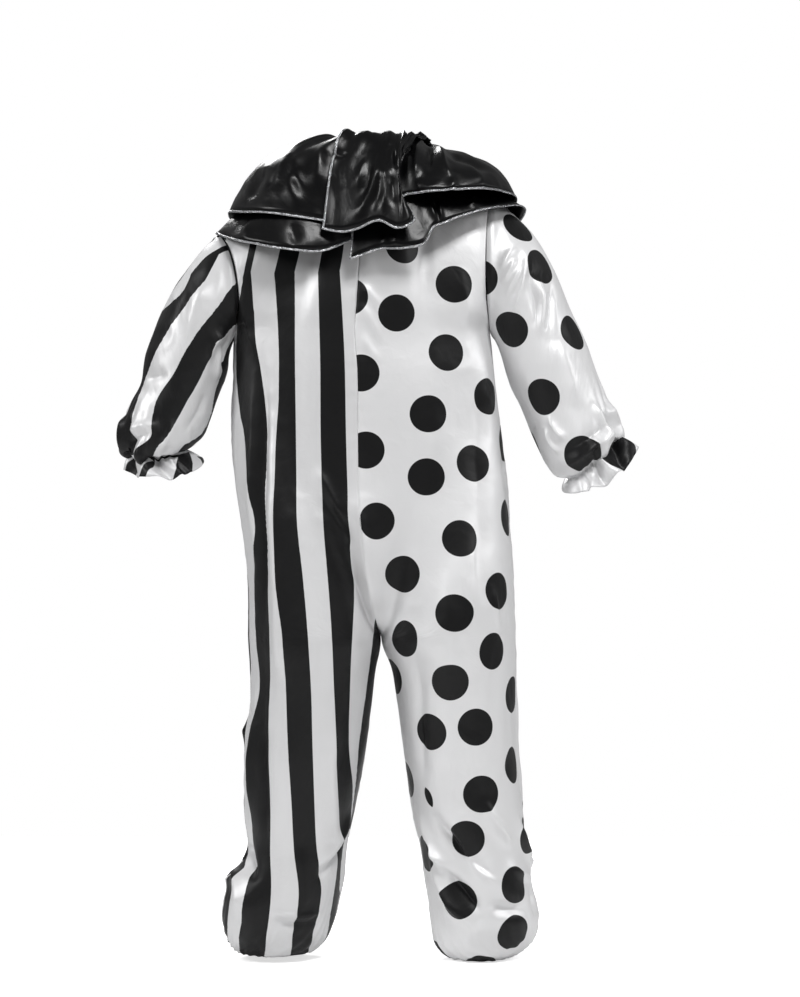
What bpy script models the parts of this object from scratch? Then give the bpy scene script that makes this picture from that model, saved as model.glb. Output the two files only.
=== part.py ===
"""Loose satin clown costume: a one-piece suit, half striped and half dotted, with a two-tier gathered collar.

The suit is worn: it keeps its hollow form, arms held out and legs apart. Metres, +Z up. The front faces
-Y and the wearer's left is +X. The origin is the middle of the neck opening, from which the suit hangs.
Every cloth piece is a closed wall, lofted through sections, with its edges half a seam gap clear of its
neighbours.
"""

import math

import bpy
import numpy as np

CLOTH = 0.002
SEAM_GAP = 0.0003
BAND_CLOTH = 0.0025
TRIM_WIDTH = 0.005
TRIM_CLOTH = 0.0024

# Panel grid: columns from the centre seam to the side, rows from the shoulder to the ankle.
COLUMNS = 10
NECK_COLUMNS = 3  # of these, the ones that lie on the neckline
ARMHOLE_ROWS = 8
SLEEVE_AROUND = 2 * ARMHOLE_ROWS
BOXINESS = 0.86  # under 1, the trunk's section is squarer than an ellipse
NECK_SEAM_SHARE = 0.4  # of the centre seam's place in X at the chest, where that seam meets the neckline
SHOULDER_ARCH = 0.012
ARMHOLE_EVEN = 0.35  # how evenly an armhole falls: 1 is a straight fall, 0 is steep only in its middle
ROUNDNESS = 0.8  # under 1, the power that fills out an armhole's bow and the back of the neck

# Neckline, a ring round the neck that dips at the front.
NECK_X, NECK_Y = -0.006, -0.005
NECK_WIDE, NECK_DEEP = 0.084, 0.082
NECK_BACK_Z, NECK_DIP = -0.008, 0.034
BAND_HEIGHT = 0.024
BAND_LEAN = 0.004
BAND_AROUND = 28
BAND_SPLIT_DEG = 14  # where the band opens, from the back towards the wearer's left

# Trunk, a row for each level: its sides, its centre seams and its depth. split goes from 0, one
# trunk, to 1, two legs, and carries the seat seam from the back of the trunk down to the crotch. part
# does the same for the cloth beside the seam, which parts sooner and more gently.
TRUNK_COLUMNS = ("z", "left", "right", "centre_back", "centre_front", "back", "front", "split", "part")
TRUNK = (
    (-0.358, 0.275, -0.223, 0.040, -0.045, 0.135, -0.150, 0.000, 0.00),
    (-0.443, 0.278, -0.232, 0.035, -0.045, 0.138, -0.158, 0.000, 0.00),
    (-0.575, 0.284, -0.247, 0.034, -0.045, 0.140, -0.160, 0.000, 0.07),
    (-0.654, 0.285, -0.256, 0.033, -0.043, 0.145, -0.158, 0.000, 0.20),
    (-0.740, 0.276, -0.258, 0.029, -0.040, 0.158, -0.155, 0.000, 0.42),
    (-0.825, 0.260, -0.265, 0.020, -0.032, 0.165, -0.152, 0.076, 0.65),
    (-0.898, 0.250, -0.268, 0.007, -0.024, 0.166, -0.150, 0.293, 0.85),
    (-0.946, 0.251, -0.270, -0.005, -0.015, 0.166, -0.147, 0.617, 0.97),
)
PART_FROM = 0.35  # share of the way round by which the cloth has left the centre seam's line

# Legs, a row for each level from the crotch to the elastic hem.
LEG_COLUMNS = ("z", "inner", "outer", "back", "front")
LEGS = {
    "left": (
        (-0.963, -0.010, 0.253, 0.165, -0.145),
        (-1.025, 0.000, 0.249, 0.158, -0.138),
        (-1.087, 0.008, 0.247, 0.150, -0.130),
        (-1.217, 0.026, 0.258, 0.138, -0.118),
        (-1.314, 0.043, 0.258, 0.128, -0.112),
        (-1.375, 0.056, 0.254, 0.122, -0.108),
        (-1.436, 0.061, 0.284, 0.122, -0.112),
        (-1.481, 0.071, 0.301, 0.120, -0.116),
        (-1.531, 0.085, 0.301, 0.110, -0.112),
        (-1.566, 0.106, 0.286, 0.092, -0.098),
        (-1.582, 0.128, 0.270, 0.074, -0.082),
    ),
    "right": (
        (-0.963, -0.010, -0.273, 0.165, -0.145),
        (-1.025, -0.030, -0.274, 0.158, -0.138),
        (-1.087, -0.041, -0.274, 0.150, -0.130),
        (-1.217, -0.060, -0.278, 0.138, -0.118),
        (-1.314, -0.072, -0.290, 0.128, -0.112),
        (-1.375, -0.086, -0.294, 0.122, -0.108),
        (-1.436, -0.094, -0.305, 0.122, -0.112),
        (-1.481, -0.102, -0.315, 0.120, -0.116),
        (-1.531, -0.108, -0.319, 0.112, -0.112),
        (-1.568, -0.118, -0.303, 0.094, -0.098),
        (-1.592, -0.140, -0.264, 0.072, -0.080),
    ),
}

# Armholes: the shoulder tip, the underarm, how far the seam cuts in between them, and its depth.
ARMHOLES = {
    "left": {"tip": (0.308, -0.170), "pit": (0.275, -0.358), "cut_in": 0.022, "depth": 0.088},
    "right": {"tip": (-0.225, -0.098), "pit": (-0.223, -0.358), "cut_in": 0.010, "depth": 0.090},
}
NECK_POINT_X = {"left": 0.076, "right": -0.088}

# Sleeves, a row for each ring: its outer and inner edge, half its depth, where its middle stands in Y,
# and how far its back hangs past its edges along the arm. The last three are the elastic and the ruffle.
SLEEVE_COLUMNS = ("outer_x", "outer_z", "inner_x", "inner_z", "depth", "y", "sag")
SLEEVES = {
    "left": (
        (0.341, -0.199, 0.290, -0.402, 0.096, 0.000, 0.000),
        (0.376, -0.243, 0.294, -0.431, 0.096, 0.000, 0.004),
        (0.406, -0.296, 0.300, -0.457, 0.093, 0.000, 0.006),
        (0.429, -0.349, 0.307, -0.475, 0.090, 0.000, 0.006),
        (0.449, -0.402, 0.315, -0.498, 0.087, 0.002, 0.006),
        (0.460, -0.461, 0.327, -0.534, 0.085, 0.004, 0.008),
        (0.483, -0.504, 0.339, -0.563, 0.084, 0.006, 0.012),
        (0.504, -0.560, 0.351, -0.577, 0.080, 0.008, 0.020),
        (0.500, -0.598, 0.364, -0.587, 0.068, 0.008, 0.018),
        (0.476, -0.606, 0.380, -0.592, 0.048, 0.008, 0.004),
        (0.486, -0.622, 0.358, -0.604, 0.062, 0.008, 0.014),
        (0.490, -0.634, 0.338, -0.618, 0.074, 0.008, 0.024),
    ),
    "right": (
        (-0.268, -0.130, -0.240, -0.392, 0.097, 0.000, 0.000),
        (-0.308, -0.168, -0.248, -0.416, 0.097, 0.000, 0.002),
        (-0.347, -0.235, -0.257, -0.447, 0.094, 0.000, 0.004),
        (-0.384, -0.319, -0.268, -0.479, 0.090, 0.000, 0.004),
        (-0.408, -0.372, -0.282, -0.506, 0.087, 0.002, 0.004),
        (-0.431, -0.441, -0.299, -0.552, 0.085, 0.004, 0.006),
        (-0.455, -0.510, -0.321, -0.599, 0.084, 0.006, 0.010),
        (-0.466, -0.543, -0.335, -0.625, 0.080, 0.008, 0.014),
        (-0.473, -0.562, -0.352, -0.645, 0.068, 0.008, 0.012),
        (-0.470, -0.574, -0.378, -0.652, 0.048, 0.008, 0.004),
        (-0.490, -0.582, -0.368, -0.664, 0.062, 0.008, 0.016),
        (-0.505, -0.594, -0.366, -0.674, 0.074, 0.008, 0.028),
    ),
}

# Collar tiers, a row for each ridge or hollow of the hem, from the end that laps over at the back,
# round the right shoulder, the front and the left shoulder, to the end that lies under. azimuth is
# 0 at the back and grows towards the left, in degrees.
TIER_COLUMNS = ("azimuth", "reach", "drop")
TIERS = {
    "upper": (
        (30, 0.212, -0.171),
        (21, 0.208, -0.177),
        (12, 0.208, -0.173),
        (0, 0.215, -0.157),
        (-9, 0.228, -0.172),
        (-16, 0.234, -0.162),
        (-17, 0.210, -0.140),
        (-10, 0.182, -0.120),
        (-17, 0.184, -0.104),
        (-28, 0.207, -0.099),
        (-42, 0.235, -0.094),
        (-62, 0.262, -0.091),
        (-82, 0.272, -0.100),
        (-105, 0.264, -0.125),
        (-122, 0.276, -0.150),
        (-140, 0.246, -0.175),
        (-156, 0.256, -0.195),
        (-172, 0.232, -0.205),
        (-188, 0.250, -0.208),
        (-205, 0.236, -0.192),
        (-222, 0.268, -0.175),
        (-240, 0.268, -0.152),
        (-256, 0.294, -0.140),
        (-272, 0.296, -0.128),
        (-290, 0.284, -0.131),
        (-309, 0.254, -0.140),
        (-329, 0.196, -0.154),
        (-348, 0.180, -0.158),
    ),
    "lower": (
        (17, 0.184, -0.228),
        (0, 0.186, -0.210),
        (-14, 0.196, -0.208),
        (-25, 0.204, -0.200),
        (-32, 0.198, -0.167),
        (-38, 0.206, -0.158),
        (-45, 0.218, -0.146),
        (-57, 0.240, -0.129),
        (-70, 0.262, -0.120),
        (-86, 0.289, -0.122),
        (-105, 0.268, -0.165),
        (-122, 0.276, -0.195),
        (-140, 0.248, -0.220),
        (-156, 0.256, -0.240),
        (-172, 0.232, -0.252),
        (-188, 0.248, -0.252),
        (-205, 0.236, -0.237),
        (-222, 0.268, -0.220),
        (-240, 0.272, -0.198),
        (-257, 0.300, -0.182),
        (-271, 0.320, -0.168),
        (-286, 0.312, -0.179),
        (-300, 0.300, -0.193),
        (-315, 0.262, -0.209),
        (-327, 0.212, -0.214),
        (-338, 0.176, -0.195),
        (-346, 0.154, -0.180),
    ),
}
# How each tier leaves the band: where its head stands on it, how high it puffs near the neck, and where
# it crowns before it falls, at the back and front and, with _side, over the shoulders. share is how far
# out it crowns, as a share of its reach.
HEAD_COLUMNS = ("head", "puff", "puff_side", "crown", "crown_side", "share")
TIER_HEADS = {
    "upper": (0.015, 0.024, 0.046, 0.004, 0.034, 0.80),
    "lower": (0.003, 0.004, 0.006, -0.030, -0.070, 0.70),
}
TIER_STEPS = 2  # grid columns to each row of the hem's table
TIER_ROWS = 4
PUFF_REACH = 0.028
BAND_CLEAR = 0.0009  # from the band to the tier's head
LAP_FADE = 2  # how many times over the lap's lift has faded when the other end is reached
LAP_CLEAR, LAP_LIFT = 0.010, 0.014  # how much further out and up a tier's lapping end lies

# Largest folds of the suit, a row for each: the pieces it lies on, where it starts and ends as shares of
# the way round (centre seam 0, side 1) and heights, its width and its depth, outwards when positive.
FOLD_COLUMNS = ("piece", "from_round", "from_z", "to_round", "to_z", "width", "depth")
FOLDS = (
    ("back_left", 0.55, -0.40, 0.62, -1.40, 0.24, 0.007),
    ("back_left", 0.85, -0.62, 0.80, -1.10, 0.20, -0.006),
    ("back_right", 0.70, -0.38, 0.55, -1.00, 0.24, 0.007),
    ("back_right", 0.30, -1.25, 0.75, -1.50, 0.22, 0.009),
    ("front_left", 0.50, -0.38, 0.45, -1.30, 0.24, 0.008),
    ("front_right", 0.55, -0.40, 0.50, -1.30, 0.24, 0.008),
    ("front_left", 0.70, -1.35, 0.30, -1.50, 0.24, 0.008),
    ("front_right", 0.35, -1.34, 0.70, -1.50, 0.24, 0.008),
)
FOLD_END = 0.10  # of its height range, over which a fold fades in and out

WHITE_SATIN = (0.80, 0.80, 0.83)
STRIPED_SATIN = (0.42, 0.42, 0.44)
BLACK_SATIN = (0.015, 0.015, 0.016)
SILVER = (0.62, 0.62, 0.64)


def smooth_curve(points, steps):
    """A Catmull-Rom curve through the points, with a number of steps to each span."""
    points = np.asarray(points, float)
    before = 2 * points[:1] - points[1:2]
    after = 2 * points[-1:] - points[-2:-1]
    padded = np.concatenate([before, points, after])
    a, b, c, d = padded[:-3], padded[1:-2], padded[2:-1], padded[3:]
    t = (np.arange(steps) / steps)[None, :, None]
    a, b, c, d = (p[:, None, :] for p in (a, b, c, d))
    spans = 0.5 * (2 * b + (c - a) * t + (2 * a - 5 * b + 4 * c - d) * t**2 + (3 * b - a - 3 * c + d) * t**3)
    return np.concatenate([spans.reshape(-1, points.shape[1]), points[-1:]])


def neckline(azimuth):
    """Points of the neckline, in radians from the back, growing towards the wearer's left."""
    azimuth = np.asarray(azimuth, float)
    dip = NECK_DIP * (0.5 - 0.5 * np.cos(azimuth)) ** 2
    return np.stack(
        [NECK_X + NECK_WIDE * np.sin(azimuth), NECK_Y + NECK_DEEP * np.cos(azimuth), NECK_BACK_Z - dip],
        axis=-1,
    )


def trunk_section(row, side, face):
    """One level of the trunk, from its centre seam to its side, as (x, y)."""
    turn = np.linspace(0, math.pi / 2, COLUMNS + 1)
    centre, reach = row[f"centre_{face}"], row[face]
    x = centre + (row[side] - centre) * np.sin(turn) ** BOXINESS
    return np.stack([x, reach * np.cos(turn) ** BOXINESS], axis=-1)


def leg_section(row, face):
    """Half a leg's ring, from its inseam to its side seam, as (x, y)."""
    turn = np.linspace(0, math.pi, COLUMNS + 1)
    middle, half = (row["inner"] + row["outer"]) / 2, (row["outer"] - row["inner"]) / 2
    return np.stack([middle - half * np.cos(turn), row[face] * np.sin(turn)], axis=-1)


def rows_of(columns, table):
    return [dict(zip(columns, values)) for values in table]


def lower_rows(side, face):
    """The panel below the underarm: trunk levels that part into the leg, then the leg's levels."""
    leg_rows = rows_of(LEG_COLUMNS, LEGS[side])
    hip = leg_section(leg_rows[0], face)
    found = []
    for row in rows_of(TRUNK_COLUMNS, TRUNK):
        near_seam = np.clip(1 - np.linspace(0, 1, COLUMNS + 1) / PART_FROM, 0, 1) ** 2
        share = (row["part"] + (row["split"] - row["part"]) * near_seam)[:, None]
        flat = (1 - share) * trunk_section(row, side, face) + share * hip
        flat[0, 0] = row[f"centre_{face}"]
        found.append(np.column_stack([flat, np.full(len(flat), row["z"])]))
    for row in leg_rows:
        flat = leg_section(row, face)
        found.append(np.column_stack([flat, np.full(len(flat), row["z"])]))
    return np.array(found)


def armhole_edge(side, face):
    """The armhole's seam on one panel, from the shoulder tip to the underarm."""
    hole = ARMHOLES[side]
    along = np.linspace(0, 1, ARMHOLE_ROWS + 1)
    (tip_x, tip_z), (pit_x, pit_z) = hole["tip"], hole["pit"]
    bow = np.sin(math.pi * along)
    x = tip_x + (pit_x - tip_x) * along - math.copysign(hole["cut_in"], tip_x) * bow
    ease = 0.5 - 0.5 * np.cos(math.pi * along)
    z = tip_z + (pit_z - tip_z) * (ARMHOLE_EVEN * along + (1 - ARMHOLE_EVEN) * ease)
    y = hole["depth"] * bow**ROUNDNESS * (1 if face == "back" else -1)
    return np.stack([x, y, z], axis=-1)


def top_row(side, face):
    """The neckline from the centre seam to the neck point, then the shoulder seam out to its tip."""
    centre_x = TRUNK[0][TRUNK_COLUMNS.index(f"centre_{face}")]
    start = math.asin((NECK_SEAM_SHARE * centre_x - NECK_X) / NECK_WIDE)
    end = math.asin((NECK_POINT_X[side] - NECK_X) / NECK_WIDE)
    neck_point = (neckline(end) + neckline(math.pi - end)) / 2
    if face == "front":
        start, end = math.pi - start, math.pi - end
    neck = neckline(np.linspace(start, end, NECK_COLUMNS + 1))
    neck[-1] = neck_point
    tip_x, tip_z = ARMHOLES[side]["tip"]
    share = np.linspace(0, 1, COLUMNS - NECK_COLUMNS + 1)[:, None]
    tip = np.array([tip_x, 0.0, tip_z])
    shoulder = neck[-1] + (tip - neck[-1]) * share
    shoulder[:, 2] += SHOULDER_ARCH * np.sin(math.pi * share[:, 0])
    return np.concatenate([neck, shoulder[1:]])


def coons(top, bottom, first, last):
    """The patch that fills four edges: top and bottom rows, first and last columns."""
    u = np.linspace(0, 1, len(top))[None, :, None]
    v = np.linspace(0, 1, len(first))[:, None, None]
    ruled = (1 - v) * top[None] + v * bottom[None] + (1 - u) * first[:, None] + u * last[:, None]
    corners = (
        (1 - u) * (1 - v) * top[0] + u * (1 - v) * top[-1] + (1 - u) * v * bottom[0] + u * v * bottom[-1]
    )
    return ruled - corners


def body_panel(side, face):
    """A body panel's outer face, (rows, columns, 3), from the neckline and shoulder to the ankle."""
    lower = lower_rows(side, face)
    top = top_row(side, face)
    fall = np.linspace(0, 1, ARMHOLE_ROWS + 1)[:, None]
    centre = top[0] + (lower[0, 0] - top[0]) * fall
    centre[:, 1] = top[0, 1] + (lower[0, 0, 1] - top[0, 1]) * np.sin(math.pi / 2 * fall[:, 0]) ** ROUNDNESS
    upper = coons(top, lower[0], centre, armhole_edge(side, face))
    grid = np.concatenate([upper[:-1], lower])
    return grid + folds_on(f"{face}_{side}", grid)


def folds_on(name, grid):
    """How far the large folds move each point: a smooth ridge or hollow along a straight line."""
    round_share = np.broadcast_to(np.linspace(0, 1, grid.shape[1]), grid.shape[:2])
    z = grid[..., 2]
    moved = np.zeros(grid.shape[:2])
    for values in FOLDS:
        fold = dict(zip(FOLD_COLUMNS, values))
        if fold["piece"] != name:
            continue
        down = (fold["from_z"] - z) / (fold["from_z"] - fold["to_z"])
        middle = fold["from_round"] + (fold["to_round"] - fold["from_round"]) * down
        across = np.clip(np.abs(round_share - middle) / fold["width"], 0, 1)
        fade = np.clip(np.minimum(down, 1 - down) / FOLD_END, 0, 1)
        edge = np.sin(math.pi * round_share) ** 0.5  # nothing moves at the seams
        moved += fold["depth"] * (0.5 + 0.5 * np.cos(math.pi * across)) * fade * edge
    return normals_of(grid) * moved[..., None]


def sleeve_grid(side):
    """A sleeve's outer face, (rings, round, 3): round from the shoulder over the back to the underarm."""
    back, front = armhole_edge(side, "back"), armhole_edge(side, "front")
    rings = [np.concatenate([back[:-1], front[:0:-1]])]
    turn = np.arange(SLEEVE_AROUND) * 2 * math.pi / SLEEVE_AROUND
    for row in rows_of(SLEEVE_COLUMNS, SLEEVES[side]):
        outer = np.array([row["outer_x"], row["y"], row["outer_z"]])
        inner = np.array([row["inner_x"], row["y"], row["inner_z"]])
        across = (outer - inner) / 2
        along = np.array([across[2], 0.0, -across[0]]) / np.hypot(across[0], across[2])
        along = along if along[2] < 0 else -along
        ring = (outer + inner) / 2 + across * np.cos(turn)[:, None]
        ring[:, 1] += row["depth"] * np.sin(turn)
        rings.append(ring + along * (row["sag"] * np.sin(turn))[:, None])
    return np.array(rings)


def normals_of(grid, closed=False):
    """Unit normals of a grid, from the steps along its rows and columns."""
    if closed:
        wide = np.concatenate([grid[:, -1:], grid, grid[:, :1]], axis=1)
        across = wide[:, 2:] - wide[:, :-2]
    else:
        across = np.gradient(grid, axis=1)
    normal = np.cross(np.gradient(grid, axis=0), across)
    return normal / np.maximum(np.linalg.norm(normal, axis=-1, keepdims=True), 1e-9)


def outward(name, grid):
    """Normals that point out: a panel's to its own face, a sleeve's away from its middle line."""
    is_sleeve = name.startswith("sleeve")
    normals = normals_of(grid, is_sleeve)
    if is_sleeve:
        way = grid - grid.mean(axis=1, keepdims=True)
    else:
        way = np.array([0, 1 if name.startswith("back") else -1, 0])
    return normals * np.sign(np.sum(normals * way))


def shared_normals(grids, normals):
    """Normals that pieces share where their edges meet, so that their walls meet there too."""
    names = list(grids)
    points = np.concatenate([grids[name].reshape(-1, 3) for name in names])
    stacked = np.concatenate([normals[name].reshape(-1, 3) for name in names])
    _, place = np.unique(np.round(points, 5), axis=0, return_inverse=True)
    place = place.reshape(-1)
    total = np.zeros((place.max() + 1, 3))
    np.add.at(total, place, stacked)
    length = np.linalg.norm(total, axis=1, keepdims=True)
    total = total / np.maximum(length, 1e-9)
    found, start = {}, 0
    for name in names:
        count = grids[name].shape[0] * grids[name].shape[1]
        found[name] = total[place[start : start + count]].reshape(grids[name].shape)
        start += count
    return found


def wall(name, outer, inner, material, collection, closed=False):
    """A closed wall between two grids of the same size. A closed one runs on from its last column."""
    rows, columns = outer.shape[:2]
    vertices = np.concatenate([outer.reshape(-1, 3), inner.reshape(-1, 3)])
    at = np.arange(rows * columns).reshape(rows, columns)
    if closed:
        at = np.concatenate([at, at[:, :1]], axis=1)
    under = at + rows * columns

    def quads(a, b, c, d):
        return np.stack([a, b, c, a, c, d], axis=-1).reshape(-1, 3)

    faces = [
        quads(at[:-1, :-1], at[:-1, 1:], at[1:, 1:], at[1:, :-1]),
        quads(under[1:, 1:], under[:-1, 1:], under[:-1, :-1], under[1:, :-1]),
        quads(at[0, :-1], under[0, :-1], under[0, 1:], at[0, 1:]),
        quads(at[-1, :-1], at[-1, 1:], under[-1, 1:], under[-1, :-1]),
    ]
    if not closed:
        faces += [
            quads(at[:-1, 0], at[1:, 0], under[1:, 0], under[:-1, 0]),
            quads(at[:-1, -1], under[:-1, -1], under[1:, -1], at[1:, -1]),
        ]
    mesh = bpy.data.meshes.new(name)
    mesh.from_pydata(vertices.tolist(), [], np.concatenate(faces).tolist())
    a, b, c = np.moveaxis(vertices[np.concatenate(faces)], 1, 0)
    if np.sum(a * np.cross(b, c)) < 0:
        mesh.flip_normals()
    mesh.shade_smooth()
    mesh.set_sharp_from_angle(angle=math.radians(50))
    mesh.materials.append(material)
    piece = bpy.data.objects.new(name, mesh)
    collection.objects.link(piece)
    return piece


def satin(name, colour, roughness=0.32, metallic=0.0):
    """A material with the piece's colour and shine."""
    material = bpy.data.materials.new(name)
    material.use_nodes = True
    shader = material.node_tree.nodes["Principled BSDF"]
    shader.inputs["Base Color"].default_value = (*colour, 1.0)
    shader.inputs["Roughness"].default_value = roughness
    shader.inputs["Metallic"].default_value = metallic
    material.diffuse_color = (*colour, 1.0)
    return material


def build_suit(collection):
    """Four body panels and two sleeves, which share their seam lines."""
    grids = {}
    for side in ("left", "right"):
        for face in ("back", "front"):
            grids[f"{face}_{side}"] = body_panel(side, face)
        grids[f"sleeve_{side}"] = sleeve_grid(side)
    normals = shared_normals(grids, {name: outward(name, grid) for name, grid in grids.items()})
    half = SEAM_GAP / 2
    clear = {
        "back_left": (half, half, 0),
        "back_right": (-half, half, 0),
        "front_left": (half, -half, 0),
        "front_right": (-half, -half, 0),
        "sleeve_left": (3 * half, 0, -2 * half),
        "sleeve_right": (-3 * half, 0, -2 * half),
    }
    for name, grid in grids.items():
        colour = STRIPED_SATIN if name.endswith("left") else WHITE_SATIN
        material = satin(f"{name}_satin", colour)
        outer = grid + np.array(clear[name])
        inner = outer - normals[name] * CLOTH
        wall(name, outer, inner, material, collection, closed=name.startswith("sleeve"))


def build_band(collection):
    """The stand band on the neckline, open at the back by one seam gap."""
    slit = 2 * SEAM_GAP / NECK_WIDE
    azimuth = math.radians(BAND_SPLIT_DEG) - np.linspace(slit, 2 * math.pi - slit, BAND_AROUND + 1)
    foot = neckline(azimuth) + (0, 0, 2 * SEAM_GAP + CLOTH)
    middle = np.array([NECK_X, NECK_Y, 0.0])
    inwards = (middle - foot) * (1, 1, 0)
    inwards /= np.linalg.norm(inwards, axis=1, keepdims=True)
    top = foot + inwards * BAND_LEAN + (0, 0, BAND_HEIGHT)
    outer = np.array([foot, top])
    wall("neck_band", outer, outer + inwards * BAND_CLOTH, satin("band_satin", BLACK_SATIN), collection)


def tier_grid(name):
    """A tier's outer face, (rows, columns, 3): rows from its gathered head to its hem.

    Each column is a cubic curve: up and out of the band, over the shoulder and down to the hem.
    """
    hem = dict(zip(TIER_COLUMNS, smooth_curve(TIERS[name], TIER_STEPS).T))
    head = dict(zip(HEAD_COLUMNS, TIER_HEADS[name]))
    turn, reach, drop = np.radians(hem["azimuth"]), hem["reach"], hem["drop"]
    neck_turn = np.linspace(turn[0], turn[-1], len(turn))
    lap = np.clip(np.linspace(1, -LAP_FADE, len(turn)), 0, 1)  # 1 at the end that lies on top
    direction = np.stack([np.sin(turn), np.cos(turn), 0 * turn], axis=-1)
    neck_way = np.stack([np.sin(neck_turn), np.cos(neck_turn), 0 * turn], axis=-1)
    side = np.sin(neck_turn) ** 2
    away = BAND_CLEAR + CLOTH + LAP_CLEAR * lap
    seat = neckline(neck_turn) + neck_way * away[:, None] + (0, 0, head["head"])
    seat[:, 2] += LAP_LIFT / 2 * lap
    puff = seat + neck_way * PUFF_REACH
    puff[:, 2] += head["puff"] + (head["puff_side"] - head["puff"]) * side + LAP_LIFT / 2 * lap
    middle = np.array([NECK_X, NECK_Y, 0.0])
    crown = middle + direction * (head["share"] * reach)[:, None]
    crown[:, 2] = head["crown"] + (head["crown_side"] - head["crown"]) * np.sin(turn) ** 2 + LAP_LIFT * lap
    end = middle + direction * (reach - TRIM_WIDTH / 2)[:, None]
    end[:, 2] = drop
    f = np.linspace(0, 1, TIER_ROWS + 1)[:, None, None]
    return (1 - f) ** 3 * seat + 3 * f * (1 - f) ** 2 * puff + 3 * f**2 * (1 - f) * crown + f**3 * end


def build_collar(collection):
    """Both tiers, each gathered on the band and lapped at the back, with a silver trim on its edges."""
    for name in TIERS:
        grid = tier_grid(name)
        normals = normals_of(grid)
        normals = normals * np.sign(np.sum(normals[..., 2]))
        under = grid - normals * CLOTH
        wall(f"collar_{name}", grid, under, satin(f"{name}_collar_satin", BLACK_SATIN), collection)
        build_trim(f"trim_{name}", grid, normals, collection)


def round_edge(grid, corner):
    """What a grid holds down its first column, along its last row and up its last column."""
    first, last = grid[:-1, 0], grid[-2::-1, -1]
    middle = grid[-1].copy()
    middle[0] = corner[0]
    middle[-1] = corner[1]
    return np.concatenate([first, middle, last])


def build_trim(name, grid, normals, collection):
    """A silver edging that carries a tier on, down one end, along the hem and up the other end."""
    across, down = np.zeros_like(grid), np.zeros_like(grid)
    across[:, 0], across[:, -1] = grid[:, 0] - grid[:, 1], grid[:, -1] - grid[:, -2]
    down[-1] = grid[-1] - grid[-2]
    way = across / np.maximum(np.linalg.norm(across, axis=-1, keepdims=True), 1e-9)
    way = way + down / np.maximum(np.linalg.norm(down, axis=-1, keepdims=True), 1e-9)
    corners = grid[-1, [0, -1]], normals[-1, [0, -1]], way[-1, [0, -1]]
    edge, turned, outwards = (round_edge(g, c) for g, c in zip((grid, normals, way), corners))
    near = edge + outwards * 2 * SEAM_GAP + turned * (TRIM_CLOTH - CLOTH) / 2
    face = np.array([near, near + outwards * TRIM_WIDTH])
    wall(name, face, face - turned * TRIM_CLOTH, satin(f"{name}_silver", SILVER, 0.35, 1.0), collection)


def main():
    for old in list(bpy.data.objects):
        bpy.data.objects.remove(old)
    collection = bpy.data.collections.new("clown_costume")
    bpy.context.scene.collection.children.link(collection)
    build_suit(collection)
    build_band(collection)
    build_collar(collection)


main()
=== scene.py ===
"""Looks of a loose satin clown costume: a one-piece suit and a two-tier gathered collar.

The suit's left half is cut from striped satin and its right half from dotted satin. Every piece of cloth
is a fine grid worked out from the same sections as its solid, creased and given a thin wall.
Metres, +Z up, front towards -Y, wearer's left towards +X, origin in the middle of the neck opening.
"""

import logging
import math
from dataclasses import dataclass, field
from enum import Enum
from typing import Any, Sequence

import bpy
import numpy as np
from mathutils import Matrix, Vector
from numpy.typing import NDArray


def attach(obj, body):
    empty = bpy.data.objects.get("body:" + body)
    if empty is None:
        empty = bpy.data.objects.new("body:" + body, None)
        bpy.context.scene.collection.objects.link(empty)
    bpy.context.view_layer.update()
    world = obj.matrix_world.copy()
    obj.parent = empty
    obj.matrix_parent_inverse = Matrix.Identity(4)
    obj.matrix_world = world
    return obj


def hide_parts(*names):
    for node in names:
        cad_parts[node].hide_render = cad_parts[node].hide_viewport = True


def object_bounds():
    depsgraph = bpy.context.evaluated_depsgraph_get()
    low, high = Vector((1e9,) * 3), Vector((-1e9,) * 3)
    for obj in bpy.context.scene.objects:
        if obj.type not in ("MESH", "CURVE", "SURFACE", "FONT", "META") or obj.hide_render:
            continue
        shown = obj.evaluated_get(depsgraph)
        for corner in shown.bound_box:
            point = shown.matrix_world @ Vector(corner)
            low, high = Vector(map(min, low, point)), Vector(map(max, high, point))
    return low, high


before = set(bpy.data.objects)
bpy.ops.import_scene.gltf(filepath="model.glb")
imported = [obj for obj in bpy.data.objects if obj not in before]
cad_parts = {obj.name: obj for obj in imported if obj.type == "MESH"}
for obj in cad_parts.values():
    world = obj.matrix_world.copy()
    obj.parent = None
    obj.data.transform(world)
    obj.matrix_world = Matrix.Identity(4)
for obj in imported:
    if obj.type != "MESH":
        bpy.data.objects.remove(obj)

Array = NDArray[np.float64]
Table = tuple[tuple[Any, ...], ...]
Colour = tuple[float, float, float, float]
Place = tuple[float, float]
Size = tuple[float, float, float]

LOG = logging.getLogger("clown_costume")
MM = 0.001
TURN = 2.0 * math.pi
CAD_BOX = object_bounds()
INK = "ink"  # millimetres into the dark part of a print, and into the painted seam shadow on the striped sleeve; negative outside them
NO_INK = -10.0
HIDDEN = 1.0  # square metres added to the distance of a point that faces away, so it is never the nearest
CLOTH_UV = "cloth"  # metres across and down the cloth


class Side(Enum):
    """A half of the suit, named for the wearer's own side."""

    LEFT = "left"
    RIGHT = "right"

    @property
    def sign(self) -> int:
        """1 towards +X, -1 towards -X."""
        return 1 if self is Side.LEFT else -1


class Face(Enum):
    """A body panel's place."""

    BACK = "back"
    FRONT = "front"

    @property
    def sign(self) -> int:
        """1 towards +Y, -1 towards -Y."""
        return 1 if self is Face.BACK else -1


class View(Enum):
    """A direction from which places are charted: the axis across it, the axis of its depth, and its sign."""

    BACK = (0, 1, 1)
    FRONT = (0, 1, -1)
    LEFT = (1, 0, 1)
    RIGHT = (1, 0, -1)


class Held(Enum):
    """How a sheet of cloth is held."""

    HUNG = "hung"
    GATHERED = "gathered"


# ---- numbers


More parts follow.
